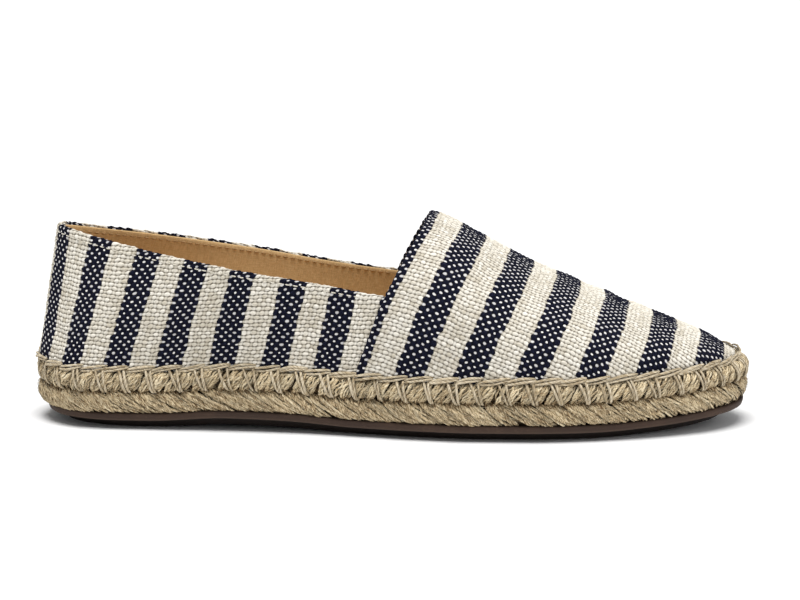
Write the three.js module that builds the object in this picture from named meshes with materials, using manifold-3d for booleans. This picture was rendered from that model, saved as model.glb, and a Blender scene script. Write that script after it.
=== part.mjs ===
// A slip-on espadrille for the right foot: striped canvas upper, braided jute sole, thin rubber outsole.
// Millimetres. +X points to the toe, +Y to the inner side of the foot, +Z up. It stands on z = 0.
import * as THREE from "three";
import { mergeVertices } from "three/addons/utils/BufferGeometryUtils.js";
import Module from "manifold-3d";

// ---- driving dimensions ----
const LENGTH = 254; // over the jute sole, heel to toe
const BALL_WIDTH = 88; // over the jute sole at the ball of the foot
const INSTEP_HEIGHT = 73.1; // floor to the top of the instep, under the vamp's edge
const HEEL_HEIGHT = 69.4; // floor to the top of the heel back
const RUBBER_THICK = 5.5; // outsole, floor to jute
const JUTE_THICK = 15; // height of the braid
const INSOLE_THICK = 1.8;
const WALL = 1.7; // canvas and lining together
const LAP = 0.9; // the vamp lies this far outside the quarter that it covers
const GAP = 0.3; // between curved pieces that meet

// ---- sole outline: half widths either side of the long axis, as shares of the ball width ----
const OUTLINE = [
  { along: 0.0, lateral: 0.33, medial: 0.33 },
  { along: 0.12, lateral: 0.334, medial: 0.33 },
  { along: 0.22, lateral: 0.342, medial: 0.324 },
  { along: 0.3, lateral: 0.353, medial: 0.328 },
  { along: 0.38, lateral: 0.376, medial: 0.343 },
  { along: 0.46, lateral: 0.42, medial: 0.37 },
  { along: 0.54, lateral: 0.47, medial: 0.406 },
  { along: 0.62, lateral: 0.498, medial: 0.45 },
  { along: 0.7, lateral: 0.492, medial: 0.486 },
  { along: 0.76, lateral: 0.468, medial: 0.498 },
  { along: 0.855, lateral: 0.387, medial: 0.452 },
  { along: 0.935, lateral: 0.347, medial: 0.438 },
  { along: 1.0, lateral: 0.341, medial: 0.455 },
];
const HEEL_ROUND = { reach: 29, power: 0.5 }; // how the outline closes at each end
const TOE_ROUND = { reach: 45, power: 0.5 };

// ---- how far the sole's underside lies above the floor: heel and forefoot rest flat ----
const LIFT = [
  { along: 0.0, lift: 0.8 },
  { along: 0.045, lift: 0 },
  { along: 0.17, lift: 0 },
  { along: 0.28, lift: 1.5 },
  { along: 0.36, lift: 1.2 },
  { along: 0.47, lift: 0 },
  { along: 0.79, lift: 0 },
  { along: 0.88, lift: 0.9 },
  { along: 0.95, lift: 2.2 },
  { along: 1.0, lift: 3.2 },
];

// ---- side profiles: height share, and how far each level stands in from the outline ----
const RUBBER_LEVELS = [
  { height: 0.0, side: 7.0, heel: 10.0, toe: 9.0 },
  { height: 0.12, side: 4.4, heel: 7.0, toe: 5.2 },
  { height: 0.42, side: 2.7, heel: 5.2, toe: 3.0 },
  { height: 1.0, side: 2.1, heel: 4.5, toe: 2.2 },
];
const JUTE_LEVELS = [
  { height: 0.0, side: 2.0, heel: 4.4, toe: 2.6 },
  { height: 0.2, side: 0.6, heel: 2.8, toe: 0.9 },
  { height: 0.5, side: 0.0, heel: 1.0, toe: 0.0 },
  { height: 0.82, side: 0.3, heel: 0.0, toe: 0.4 },
  { height: 1.0, side: 1.5, heel: 0.9, toe: 1.8 },
];
const FEATHER = { side: 2.6, heel: 0.8, toe: 4.8 }; // the upper's bottom edge
const INSOLE_EDGE = { side: 4.8, heel: 3.1, toe: 12.5 };

// ---- the vamp's ridge: rise above the bottom edge, as a share of the rise at the instep ----
const RIDGE = [
  { along: 0.3, rise: 1.5 },
  { along: 0.42, rise: 1.37 },
  { along: 0.5, rise: 1.12 },
  { along: 0.556, rise: 1.0 },
  { along: 0.57, rise: 0.98 },
  { along: 0.632, rise: 0.824 },
  { along: 0.697, rise: 0.657 },
  { along: 0.764, rise: 0.518 },
  { along: 0.831, rise: 0.378 },
  { along: 0.898, rise: 0.228 },
  { along: 0.933, rise: 0.152 },
  { along: 0.957, rise: 0.076 },
  { along: 0.969, rise: 0.03 },
  { along: 0.977, rise: 0.008 },
  { along: 0.9811, rise: 0.0 },
];
const RIDGE_SIDE = 3; // the ridge runs this far to the inner side of the long axis
const ARCH_POWER = [
  { along: 0.5, power: 2.35 },
  { along: 0.7, power: 2.15 },
  { along: 1.0, power: 2.1 },
];
const BULGE = 1.5; // how far the sides swell out between bottom edge and top

// ---- throat edge and topline ----
const THROAT = { foot: -11.6, top: 14.3, straight: 0.72, power: 2.6 }; // x at sole and instep, its bend
const TOPLINE = [
  { along: 0.032, height: HEEL_HEIGHT, lateral: 30.4, medial: 30.4 },
  { along: 0.067, height: 67.4, lateral: 30.6, medial: 30.4 },
  { along: 0.146, height: 63.8, lateral: 31.1, medial: 30.3 },
  { along: 0.303, height: 57.1, lateral: 32.0, medial: 30.0 },
  { along: 0.4, height: 53.1, lateral: 32.8, medial: 30.6 },
  { along: 0.461, height: 50.7, lateral: 33.8, medial: 31.4 },
  { along: 0.54, height: 47.9, lateral: 35.4, medial: 33.2 },
];
const TOPLINE_ROUND = { reach: 84, power: 0.85 }; // the heel narrows to the top
const TOPLINE_END = { reach: 4, power: 0.5, blunt: 3.5 }; // and its last few millimetres are blunt
const QUARTER_FRONT = { foot: -2.5, top: 8.5 }; // x of its front ends, hidden under the vamp
const BLEND = { from: -52, to: -14 }; // where the heel's form turns into the vamp's

// ---- mesh density ----
const SOLE_STATIONS = 44;
const VAMP_STATIONS = 26;
const VAMP_ACROSS = 30;
const QUARTER_STATIONS = 26; // on each side of the heel
const QUARTER_LEVELS = 6;
const SLANT_STEPS = 16; // steps that settle how far a slanted line leans at its height

const INSTEP_RISE = INSTEP_HEIGHT - (RUBBER_THICK + GAP + JUTE_THICK + GAP);
const TIP = LENGTH / 2;
const LATERAL = -1;
const MEDIAL = 1;

// A smooth value from a table at x, with no overshoot between its rows.
function fromTable(rows, column, x) {
  const at = THREE.MathUtils.clamp(x / LENGTH + 0.5, rows[0].along, rows[rows.length - 1].along);
  const slopeOf = (i) => (rows[i + 1][column] - rows[i][column]) / (rows[i + 1].along - rows[i].along);
  const tangentAt = (i) => {
    if (i === 0) return slopeOf(0);
    if (i === rows.length - 1) return slopeOf(i - 1);
    const before = slopeOf(i - 1);
    const after = slopeOf(i);
    return before * after <= 0 ? 0 : (2 * before * after) / (before + after);
  };
  let i = 0;
  while (i < rows.length - 2 && rows[i + 1].along < at) i += 1;
  const span = rows[i + 1].along - rows[i].along;
  const t = (at - rows[i].along) / span;
  const stay = (1 + 2 * t) * (1 - t) ** 2;
  return (
    rows[i][column] * stay +
    rows[i + 1][column] * (1 - stay) +
    span * (tangentAt(i) * t * (1 - t) ** 2 - tangentAt(i + 1) * t * t * (1 - t))
  );
}

// How much of its full width an outline keeps at this distance from its end.
function endRound(distance, round) {
  const t = THREE.MathUtils.clamp(1 - distance / round.reach, 0, 1);
  return (1 - t * t) ** round.power;
}

const liftAt = (x) => fromTable(LIFT, "lift", x);
const juteBottom = (x) => liftAt(x) + RUBBER_THICK + GAP;
const juteTop = (x) => juteBottom(x) + JUTE_THICK;
const featherHeight = (x) => juteTop(x) + GAP;

// The sole outline's y at x on one side, for a level that stands in from it.
function outlineY(x, side, inset) {
  const lateral = fromTable(OUTLINE, "lateral", x) * BALL_WIDTH - inset.side;
  const medial = fromTable(OUTLINE, "medial", x) * BALL_WIDTH - inset.side;
  const centre = (medial - lateral) / 2;
  const half = (medial + lateral) / 2;
  const heel = endRound(x + TIP - inset.heel, HEEL_ROUND);
  const toe = endRound(TIP - inset.toe - x, TOE_ROUND);
  return centre + side * half * heel * toe;
}

// The stations of a level, close together at both ends.
function stationX(i, count, inset) {
  const heel = -TIP + inset.heel;
  const toe = TIP - inset.toe;
  return (heel + toe) / 2 - ((toe - heel) / 2) * Math.cos((Math.PI * i) / count);
}

// The arched form over the foot. angle runs from 0 at the bottom edge to a right angle at the ridge.
function archPoint(x, angle, side, grow) {
  const power = 2 / fromTable(ARCH_POWER, "power", x);
  const edge = Math.abs(outlineY(x, side, FEATHER) - RIDGE_SIDE) + grow;
  const rise = Math.max(fromTable(RIDGE, "rise", x) * INSTEP_RISE + grow, 0);
  const shrink = Math.min(rise / (0.3 * INSTEP_RISE), 1);
  const half = edge * Math.cos(angle) ** power + BULGE * shrink * Math.sin(2 * angle);
  return new THREE.Vector3(x, RIDGE_SIDE + side * half, featherHeight(x) + rise * Math.sin(angle) ** power);
}

// The arched form's y at a height.
function archY(x, z, side, grow) {
  const power = 2 / fromTable(ARCH_POWER, "power", x);
  const rise = fromTable(RIDGE, "rise", x) * INSTEP_RISE + grow;
  const share = THREE.MathUtils.clamp((z - featherHeight(x)) / rise, 0, 1);
  return archPoint(x, Math.asin(share ** (1 / power)), side, grow).y;
}

// One point of the vamp: u runs from the throat to the toe tip, v from side to side over the ridge.
function vampPoint(u, v, grow) {
  const side = v < 0.5 ? LATERAL : MEDIAL;
  const angle = Math.min((Math.PI / 2) * (1 - Math.abs(2 * v - 1)), Math.PI / 2);
  const tip = TIP - FEATHER.toe + Math.min(grow - LAP, 0);
  const foot = THREE.MathUtils.lerp(THROAT.foot, tip, u);
  const top = THREE.MathUtils.lerp(THROAT.top, tip, u);
  const up = Math.sin(angle) ** (2 / ARCH_POWER[0].power) / Math.max(fromTable(RIDGE, "rise", top), 0.05);
  let x = top;
  for (let i = 0; i < SLANT_STEPS; i += 1) {
    const height = Math.min(up * fromTable(RIDGE, "rise", x), 1);
    const bend = THROAT.straight * height + (1 - THROAT.straight) * height ** THROAT.power;
    x = THREE.MathUtils.lerp(foot, top, bend);
  }
  const middle = (outlineY(tip, LATERAL, FEATHER) + outlineY(tip, MEDIAL, FEATHER)) / 2;
  if (u === 1) return new THREE.Vector3(tip, middle, featherHeight(tip));
  return archPoint(x, angle, side, grow);
}

// A plan curve from the heel back to the front, at even steps along it.
function evenSteps(curveY, back, front, count) {
  const fine = 400;
  const points = [];
  for (let i = 0; i <= fine; i += 1) {
    const x = back + (front - back) * (i / fine) ** 2;
    points.push(new THREE.Vector3(x, curveY(x), 0));
  }
  const curve = new THREE.CatmullRomCurve3(points);
  curve.arcLengthDivisions = fine;
  return curve.getSpacedPoints(count);
}

// The quarter as a grid: around the heel from the lateral front to the medial front, bottom edge to topline.
function quarterGrid(grow) {
  const inset = { side: FEATHER.side - grow, heel: FEATHER.heel - grow, toe: FEATHER.toe };
  const topBack = (TOPLINE[0].along - 0.5) * LENGTH - grow;
  const columns = [LATERAL, MEDIAL].map((side) => {
    const column = side === LATERAL ? "lateral" : "medial";
    const footY = (x) => outlineY(x, side, inset);
    const centre = (x) => (fromTable(TOPLINE, "medial", x) - fromTable(TOPLINE, "lateral", x)) / 2;
    const topY = (x) => {
      const distance = x - topBack;
      const round = endRound(distance + TOPLINE_END.blunt, TOPLINE_ROUND) * endRound(distance, TOPLINE_END);
      return centre(x) + (side * (fromTable(TOPLINE, column, x) + grow) - centre(x)) * round;
    };
    const foot = evenSteps(footY, -TIP + inset.heel, QUARTER_FRONT.foot, QUARTER_STATIONS);
    const top = evenSteps(topY, topBack, QUARTER_FRONT.top, QUARTER_STATIONS);
    return foot.map((low, i) => {
      const high = top[i];
      const points = [];
      for (let j = 0; j <= QUARTER_LEVELS; j += 1) {
        const t = j / QUARTER_LEVELS;
        const x = THREE.MathUtils.lerp(low.x, high.x, t);
        const z = THREE.MathUtils.lerp(featherHeight(low.x), fromTable(TOPLINE, "height", high.x), t);
        const swell = BULGE * Math.sin(Math.PI * t) * Math.min(i / 8, 1);
        const straight = THREE.MathUtils.lerp(low.y, high.y, t) + side * swell;
        const blend = THREE.MathUtils.smoothstep(x, BLEND.from, BLEND.to);
        const y = THREE.MathUtils.lerp(straight, blend > 0 ? archY(x, z, side, grow) : straight, blend);
        points.push(new THREE.Vector3(x, y, z));
      }
      return points;
    });
  });
  return [...columns[0].reverse(), ...columns[1].slice(1)];
}

// The vamp as a grid: throat to toe tip, lateral bottom edge to medial bottom edge.
function vampGrid(grow) {
  const rows = [];
  for (let i = 0; i <= VAMP_STATIONS; i += 1) {
    const u = i === VAMP_STATIONS ? 1 : Math.sin((Math.PI / 2) * (i / VAMP_STATIONS));
    const row = [];
    for (let j = 0; j <= VAMP_ACROSS; j += 1) row.push(vampPoint(u, j / VAMP_ACROSS, grow));
    rows.push(row);
  }
  return rows;
}

// A closed mesh from points and quads, its faces turned outwards.
function closedGeometry(points, quads) {
  const index = quads.flatMap(([a, b, c, d]) => [a, b, c, a, c, d]);
  const geometry = new THREE.BufferGeometry().setFromPoints(points);
  geometry.setIndex(index);
  const merged = mergeVertices(geometry, 1e-4);
  const faces = [];
  const old = merged.index.array;
  for (let i = 0; i < old.length; i += 3) {
    const [a, b, c] = [old[i], old[i + 1], old[i + 2]];
    if (a !== b && b !== c && c !== a) faces.push(a, b, c);
  }
  const place = merged.attributes.position;
  const corner = (k) => new THREE.Vector3().fromBufferAttribute(place, k);
  let volume = 0;
  for (let i = 0; i < faces.length; i += 3) {
    volume += corner(faces[i]).dot(corner(faces[i + 1]).cross(corner(faces[i + 2])));
  }
  merged.setIndex(volume < 0 ? faces.reverse() : faces);
  return merged;
}

// A thick sheet: an outer and an inner grid, joined round their borders.
function shellGeometry(outer, inner) {
  const rows = outer.length;
  const columns = outer[0].length;
  const points = [...outer.flat(), ...inner.flat()];
  const out = (i, j) => i * columns + j;
  const inn = (i, j) => rows * columns + i * columns + j;
  const quads = [];
  for (let i = 0; i < rows - 1; i += 1) {
    for (let j = 0; j < columns - 1; j += 1) {
      quads.push([out(i, j), out(i + 1, j), out(i + 1, j + 1), out(i, j + 1)]);
      quads.push([inn(i, j), inn(i, j + 1), inn(i + 1, j + 1), inn(i + 1, j)]);
    }
    quads.push([out(i, 0), inn(i, 0), inn(i + 1, 0), out(i + 1, 0)]);
    quads.push([out(i, columns - 1), out(i + 1, columns - 1), inn(i + 1, columns - 1), inn(i, columns - 1)]);
  }
  for (let j = 0; j < columns - 1; j += 1) {
    quads.push([out(0, j), out(0, j + 1), inn(0, j + 1), inn(0, j)]);
    quads.push([out(rows - 1, j), inn(rows - 1, j), inn(rows - 1, j + 1), out(rows - 1, j + 1)]);
  }
  return closedGeometry(points, quads);
}

// A layer of the sole: its levels stacked between two heights, closed across at bottom and top.
function layerGeometry(levels, bottom, thick) {
  const loops = [];
  for (let i = 0; i <= SOLE_STATIONS; i += 1) {
    const loop = [];
    for (const side of [LATERAL, MEDIAL]) {
      const ordered = side === LATERAL ? levels : [...levels].reverse();
      for (const level of ordered) {
        const x = stationX(i, SOLE_STATIONS, level);
        loop.push(new THREE.Vector3(x, outlineY(x, side, level), bottom(x) + level.height * thick));
      }
    }
    loops.push(loop);
  }
  const around = loops[0].length;
  const quads = [];
  for (let i = 0; i < SOLE_STATIONS; i += 1) {
    for (let j = 0; j < around; j += 1) {
      const next = (j + 1) % around;
      quads.push([i * around + j, i * around + next, (i + 1) * around + next, (i + 1) * around + j]);
    }
  }
  return closedGeometry(loops.flat(), quads);
}

const wasm = await Module();
wasm.setup();

function toSolid(geometry) {
  const mesh = new wasm.Mesh({
    numProp: 3,
    vertProperties: new Float32Array(geometry.attributes.position.array),
    triVerts: new Uint32Array(geometry.index.array),
  });
  return new wasm.Manifold(mesh);
}

function toGeometry(solid) {
  const mesh = solid.getMesh();
  const geometry = new THREE.BufferGeometry();
  geometry.setAttribute("position", new THREE.BufferAttribute(mesh.vertProperties, 3));
  geometry.setIndex(new THREE.BufferAttribute(mesh.triVerts, 1));
  return geometry;
}

function upperGeometry() {
  const quarter = toSolid(shellGeometry(quarterGrid(0), quarterGrid(-WALL)));
  const vamp = toSolid(shellGeometry(vampGrid(LAP), vampGrid(LAP - WALL)));
  return toGeometry(quarter.add(vamp));
}

const INSOLE_LEVELS = [
  { height: 0, ...INSOLE_EDGE },
  { height: 1, ...INSOLE_EDGE },
];

const FINISHES = {
  outsole: { color: 0x5a4238, roughness: 0.75, metalness: 0 },
  jute_sole: { color: 0xc4aa82, roughness: 0.95, metalness: 0 },
  insole: { color: 0xb8956a, roughness: 0.9, metalness: 0 },
  upper: { color: 0xd9d0c0, roughness: 0.9, metalness: 0 },
};

const GEOMETRIES = {
  outsole: layerGeometry(RUBBER_LEVELS, liftAt, RUBBER_THICK),
  jute_sole: layerGeometry(JUTE_LEVELS, juteBottom, JUTE_THICK),
  insole: layerGeometry(INSOLE_LEVELS, featherHeight, INSOLE_THICK),
  upper: upperGeometry(),
};

const group = new THREE.Group();
for (const [name, geometry] of Object.entries(GEOMETRIES)) {
  const mesh = new THREE.Mesh(geometry, new THREE.MeshStandardMaterial(FINISHES[name]));
  mesh.name = name;
  group.add(mesh);
}

export default group;
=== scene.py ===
"""The looks of a right-foot slip-on espadrille: striped canvas on a braided jute sole.

Lengths are in millimetres until a mesh is made, and every object is in metres: +X is the toe,
-Y the outer (lateral) side, +Z up, with the origin under the middle of the sole.
"""

import logging
import math
from dataclasses import dataclass
from enum import Enum
from typing import Any, Callable, Sequence

import bpy
import numpy as np
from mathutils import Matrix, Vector


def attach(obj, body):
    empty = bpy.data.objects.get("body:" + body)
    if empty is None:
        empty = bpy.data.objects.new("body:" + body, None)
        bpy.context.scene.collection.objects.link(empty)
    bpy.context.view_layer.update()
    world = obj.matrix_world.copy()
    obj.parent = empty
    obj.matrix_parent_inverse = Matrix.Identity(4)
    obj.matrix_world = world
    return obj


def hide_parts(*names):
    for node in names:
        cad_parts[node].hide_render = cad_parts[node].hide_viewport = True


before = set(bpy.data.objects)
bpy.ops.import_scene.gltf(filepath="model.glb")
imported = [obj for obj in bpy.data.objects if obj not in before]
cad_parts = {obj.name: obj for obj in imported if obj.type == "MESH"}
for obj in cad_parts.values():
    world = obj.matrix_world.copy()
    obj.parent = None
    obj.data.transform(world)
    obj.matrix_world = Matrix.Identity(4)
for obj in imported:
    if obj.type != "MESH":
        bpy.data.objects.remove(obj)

Array = np.ndarray
Colour = tuple[float, float, float]
Pair = tuple[float, float]
Object = bpy.types.Object
Material = bpy.types.Material
Socket = bpy.types.NodeSocket

LOG = logging.getLogger("espadrille")
MM = 0.001
BODY = "root"
FABRIC_MAP = "Weave"
SHADE = "shade"
WANDER_CELLS = 128
TUBE_OFFSET = 37.0


class Slot(Enum):
    """The record's material slots."""

    RUBBER = "rubber"
    JUTE = "jute"
    LINING = "lining"
    CANVAS = "canvas"


class Side(Enum):
    """The two sides of the shoe, by the sign of Y."""

    LATERAL = -1
    MEDIAL = 1


def srgb(red: int, green: int, blue: int) -> Colour:
    """A screen colour, 0 to 255 a channel, as linear light."""
    shares = [channel / 255 for channel in (red, green, blue)]
    return tuple(s / 12.92 if s <= 0.04045 else ((s + 0.055) / 1.055) ** 2.4 for s in shares)


def lerp(start: Any, end: Any, share: Any) -> Any:
    """The value at a share of the way from start to end."""
    return start + (end - start) * share


def smooth(value: Array, low: float, high: float) -> Array:
    """A soft step from 0 at low to 1 at high."""
    t = np.clip((value - low) / (high - low), 0, 1)
    return t * t * (3 - 2 * t)


class Table:
    """A short table whose first column is a place and whose other columns vary smoothly with it."""

    def __init__(self, columns: str, rows: Sequence[Sequence[float]]) -> None:
        """Keeps the rows in the order of the first column.

        Args:
            columns: names of the columns, with spaces between.
            rows: one row of numbers for each place.
        """
        self.names = columns.split()
        self.rows = np.array(rows, float)

    def at(self, column: str, place: Any) -> Array:
        """Reads a column between its rows by a curve that never overshoots them.

        Args:
            column: name of the column.
            place: where to read it, in the first column's own measure.

        Returns:
            The values there.
        """
        known = self.rows[:, 0]
        values = self.rows[:, self.names.index(column)]
        t = np.clip(np.asarray(place, float), known[0], known[-1])
        i = np.clip(np.searchsorted(known, t, side="right") - 1, 0, len(known) - 2)
        gap = np.diff(known)
        slope = np.diff(values) / gap
        product = np.maximum(slope[:-1] * slope[1:], 0)
        total = np.where(product > 0, slope[:-1] + slope[1:], 1)
        tangent = np.concatenate([slope[:1], 2 * product / total, slope[-1:]])
        u = (t - known[i]) / gap[i]
        start = (1 + 2 * u) * (1 - u) ** 2 * values[i] + u * (1 - u) ** 2 * gap[i] * tangent[i]
        end = u * u * (3 - 2 * u) * values[i + 1] - u * u * (1 - u) * gap[i] * tangent[i + 1]
        return start + end

    def insets(self, place: Any) -> list[Array]:
        """How far inside the rim its line lies: along the sides, at the heel and at the toe."""
        return [self.at(column, place) for column in ("side", "heel", "toe")]


@dataclass(frozen=True)
class Inset:
    """How far an outline lies inside the widest one, along the sides, at the heel and at the toe."""

    side: float = 0.0
    heel: float = 0.0
    toe: float = 0.0


@dataclass(frozen=True)
class Rounding:
    """A rounded end: how far it reaches, and its power."""

    reach: float
    power: float

    def half(self, distance: Array) -> Array:
        """The share of the full half width at a distance from the end."""
        t = np.clip(1 - distance / self.reach, 0, 1)
        return (1 - t * t) ** self.power


OUTLINE = Table(
    "along lateral medial",
    [
        (0, 0.33, 0.33), (0.12, 0.334, 0.33), (0.22, 0.342, 0.324), (0.3, 0.353, 0.328),
        (0.38, 0.376, 0.343), (0.46, 0.42, 0.37), (0.54, 0.47, 0.406), (0.62, 0.498, 0.45),
        (0.7, 0.492, 0.486), (0.76, 0.468, 0.498), (0.855, 0.387, 0.452),
        (0.935, 0.347, 0.438), (1, 0.341, 0.455),
    ],
)
LIFT = Table(
    "along lift",
    [
        (0, 0.8), (0.045, 0), (0.17, 0), (0.28, 1.5), (0.36, 1.2), (0.47, 0), (0.79, 0),
        (0.88, 0.9), (0.95, 2.2), (1, 3.2),
    ],
)
RIDGE = Table(
    "along rise",
    [
        (0.3, 1.5), (0.42, 1.37), (0.5, 1.12), (0.556, 1.0), (0.57, 0.98), (0.632, 0.824),
        (0.697, 0.657), (0.764, 0.518), (0.831, 0.378), (0.898, 0.228), (0.933, 0.152),
        (0.957, 0.076), (0.969, 0.03), (0.977, 0.008), (0.9811, 0),
    ],
)
ARCH_POWER = Table("along power", [(0.5, 2.35), (0.7, 2.15), (1, 2.1)])
TOPLINE = Table(
    "along height lateral medial",
    [
        (0.032, 69.4, 30.4, 30.4), (0.067, 67.4, 30.6, 30.4), (0.146, 63.8, 31.1, 30.3),
        (0.303, 57.1, 32, 30), (0.4, 53.1, 32.8, 30.6), (0.461, 50.7, 33.8, 31.4),
        (0.54, 47.9, 35.4, 33.2),
    ],
)


@dataclass(frozen=True)
class Last:
    """The form the shoe is made round: its outline, height, arch and topline.

    Attributes:
        length: length of the jute sole, and ball_width its width at the ball.
        instep_height: height of the upper at the throat.
        rubber_thick: thickness of the outsole, and jute_thick that of the jute sole.
        gap: gap between two parts, and wall the thickness of the upper.
        lap: how far the vamp stands over the band.
        heel_round: the outline's rounded ends, then those of the topline, which starts topline_blunt wide.
        feather: place of the canvas's bottom edge inside the outline, and insole that of the insole.
        ridge_side: Y of the ridge over the foot.
        bulge: how far the wall bulges out; all of it from the share bulge_full of the band on, and
            where the arch is at least the share bulge_rise of the instep's height.
        least_rise: the lowest arch that a slanted line is worked out for, as a share of the instep.
        topline_back: place of the back of the topline, as a share of the length.
        quarter_front_foot: X of the band's front end at its bottom edge, and quarter_front_top at its top.
        blend_from: X from which the band turns into the arch, up to blend_to.
        throat_straight: how straight the throat's edge is, and throat_power how it bends at the ridge.
        slant_steps: steps in which a slanted line is worked out.
    """

    length: float = 254.0
    ball_width: float = 88.0
    instep_height: float = 73.1
    rubber_thick: float = 5.5
    jute_thick: float = 15.0
    gap: float = 0.3
    wall: float = 1.7
    lap: float = 0.9
    heel_round: Rounding = Rounding(29, 0.5)
    toe_round: Rounding = Rounding(45, 0.5)
    topline_round: Rounding = Rounding(84, 0.85)
    topline_end: Rounding = Rounding(4, 0.5)
    topline_blunt: float = 3.5
    feather: Inset = Inset(2.6, 0.8, 4.8)
    insole: Inset = Inset(4.8, 3.1, 12.5)
    ridge_side: float = 3.0
    bulge: float = 1.5
    bulge_full: float = 8 / 26
    bulge_rise: float = 0.3
    least_rise: float = 0.05
    topline_back: float = 0.032
    quarter_front_foot: float = -2.5
    quarter_front_top: float = 8.5
    blend_from: float = -52.0
    blend_to: float = -14.0
    throat_straight: float = 0.72
    throat_power: float = 2.6
    slant_steps: int = 16

    @property
    def tip(self) -> float:
        """X of the toe end of the widest outline."""
        return self.length / 2

    @property
    def instep_rise(self) -> float:
        """Height of the instep over the canvas's bottom edge."""
        return self.instep_height - self.rubber_thick - self.jute_thick - 2 * self.gap

    def share(self, x: Array) -> Array:
        """Place along the shoe as a share of its length."""
        return np.asarray(x, float) / self.length + 0.5

    def jute_bottom(self, x: Array) -> Array:
        """Height of the underside of the jute."""
        return LIFT.at("lift", self.share(x)) + self.rubber_thick + self.gap

    def feather_height(self, x: Array) -> Array:
        """Height of the canvas's bottom edge."""
        return self.jute_bottom(x) + self.jute_thick + self.gap

    def outline_y(self, x: Array, side: Any, inset: Inset) -> Array:
        """Y of an outline of the sole.

        Args:
            x: places along the shoe.
            side: -1 for the lateral side, 1 for the medial one.
            inset: how far inside the widest outline.

        Returns:
            Y at those places.
        """
        along = self.share(x)
        lateral = OUTLINE.at("lateral", along) * self.ball_width - inset.side
        medial = OUTLINE.at("medial", along) * self.ball_width - inset.side
        ends = self.heel_round.half(x + self.tip - inset.heel)
        ends = ends * self.toe_round.half(self.tip - inset.toe - x)
        return (medial - lateral) / 2 + side * (medial + lateral) / 2 * ends

    def arch_rise(self, x: Array, grow: float) -> Array:
        """Height of the arch over the canvas's bottom edge."""
        return np.maximum(RIDGE.at("rise", self.share(x)) * self.instep_rise + grow, 0)

    def arch(self, x: Array, angle: Array, side: Any, grow: float) -> Array:
        """Points of the arch over the foot.

        Args:
            x: places along the shoe.
            angle: 0 at the bottom edge, a quarter turn at the ridge.
            side: -1 for the lateral side, 1 for the medial one.
            grow: how far outside the upper's own surface.

        Returns:
            The points, with x, y and z last.
        """
        power = 2 / ARCH_POWER.at("power", self.share(x))
        edge = np.abs(self.outline_y(x, side, self.feather) - self.ridge_side) + grow
        rise = self.arch_rise(x, grow)
        shrink = np.minimum(rise / (self.bulge_rise * self.instep_rise), 1)
        cosine = np.maximum(np.cos(angle), 0)
        half = edge * cosine**power + self.bulge * shrink * np.sin(2 * angle)
        height = self.feather_height(x) + rise * np.sin(angle) ** power
        return np.stack([x, self.ridge_side + side * half, height], axis=-1)

    def arch_y(self, x: Array, z: Array, side: Any, grow: float) -> Array:
        """Y of the arch at a height."""
        power = 2 / ARCH_POWER.at("power", self.share(x))
        rise = np.maximum(self.arch_rise(x, grow), 1e-3)
        share = np.clip((z - self.feather_height(x)) / rise, 0, 1)
        return self.arch(x, np.arcsin(share ** (1 / power)), side, grow)[..., 1]

    def slanted(self, foot: Array, top: Array, angle: Array, side: Any, grow: float) -> Array:
        """Points on the vamp along lines that slant from the bottom edge to the ridge.

        Args:
            foot: X of each line at the bottom edge.
            top: X of each line on the ridge.
            angle: 0 at the bottom edge, a quarter turn at the ridge.
            side: -1 for the lateral side, 1 for the medial one.
            grow: how far outside the upper's own surface.

        Returns:
            The points, with x, y and z last.
        """
        ridge_top = np.maximum(RIDGE.at("rise", self.share(top)), self.least_rise)
        up = np.sin(angle) ** (2 / ARCH_POWER.rows[0, 1]) / ridge_top
        x = top + 0 * angle
        for _ in range(self.slant_steps):
            height = np.minimum(up * RIDGE.at("rise", self.share(x)), 1)
            bend = self.throat_straight * height + (1 - self.throat_straight) * height**self.throat_power
            x = lerp(foot, top, bend)
        return self.arch(x, angle, side, grow)


LAST = Last()


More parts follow.
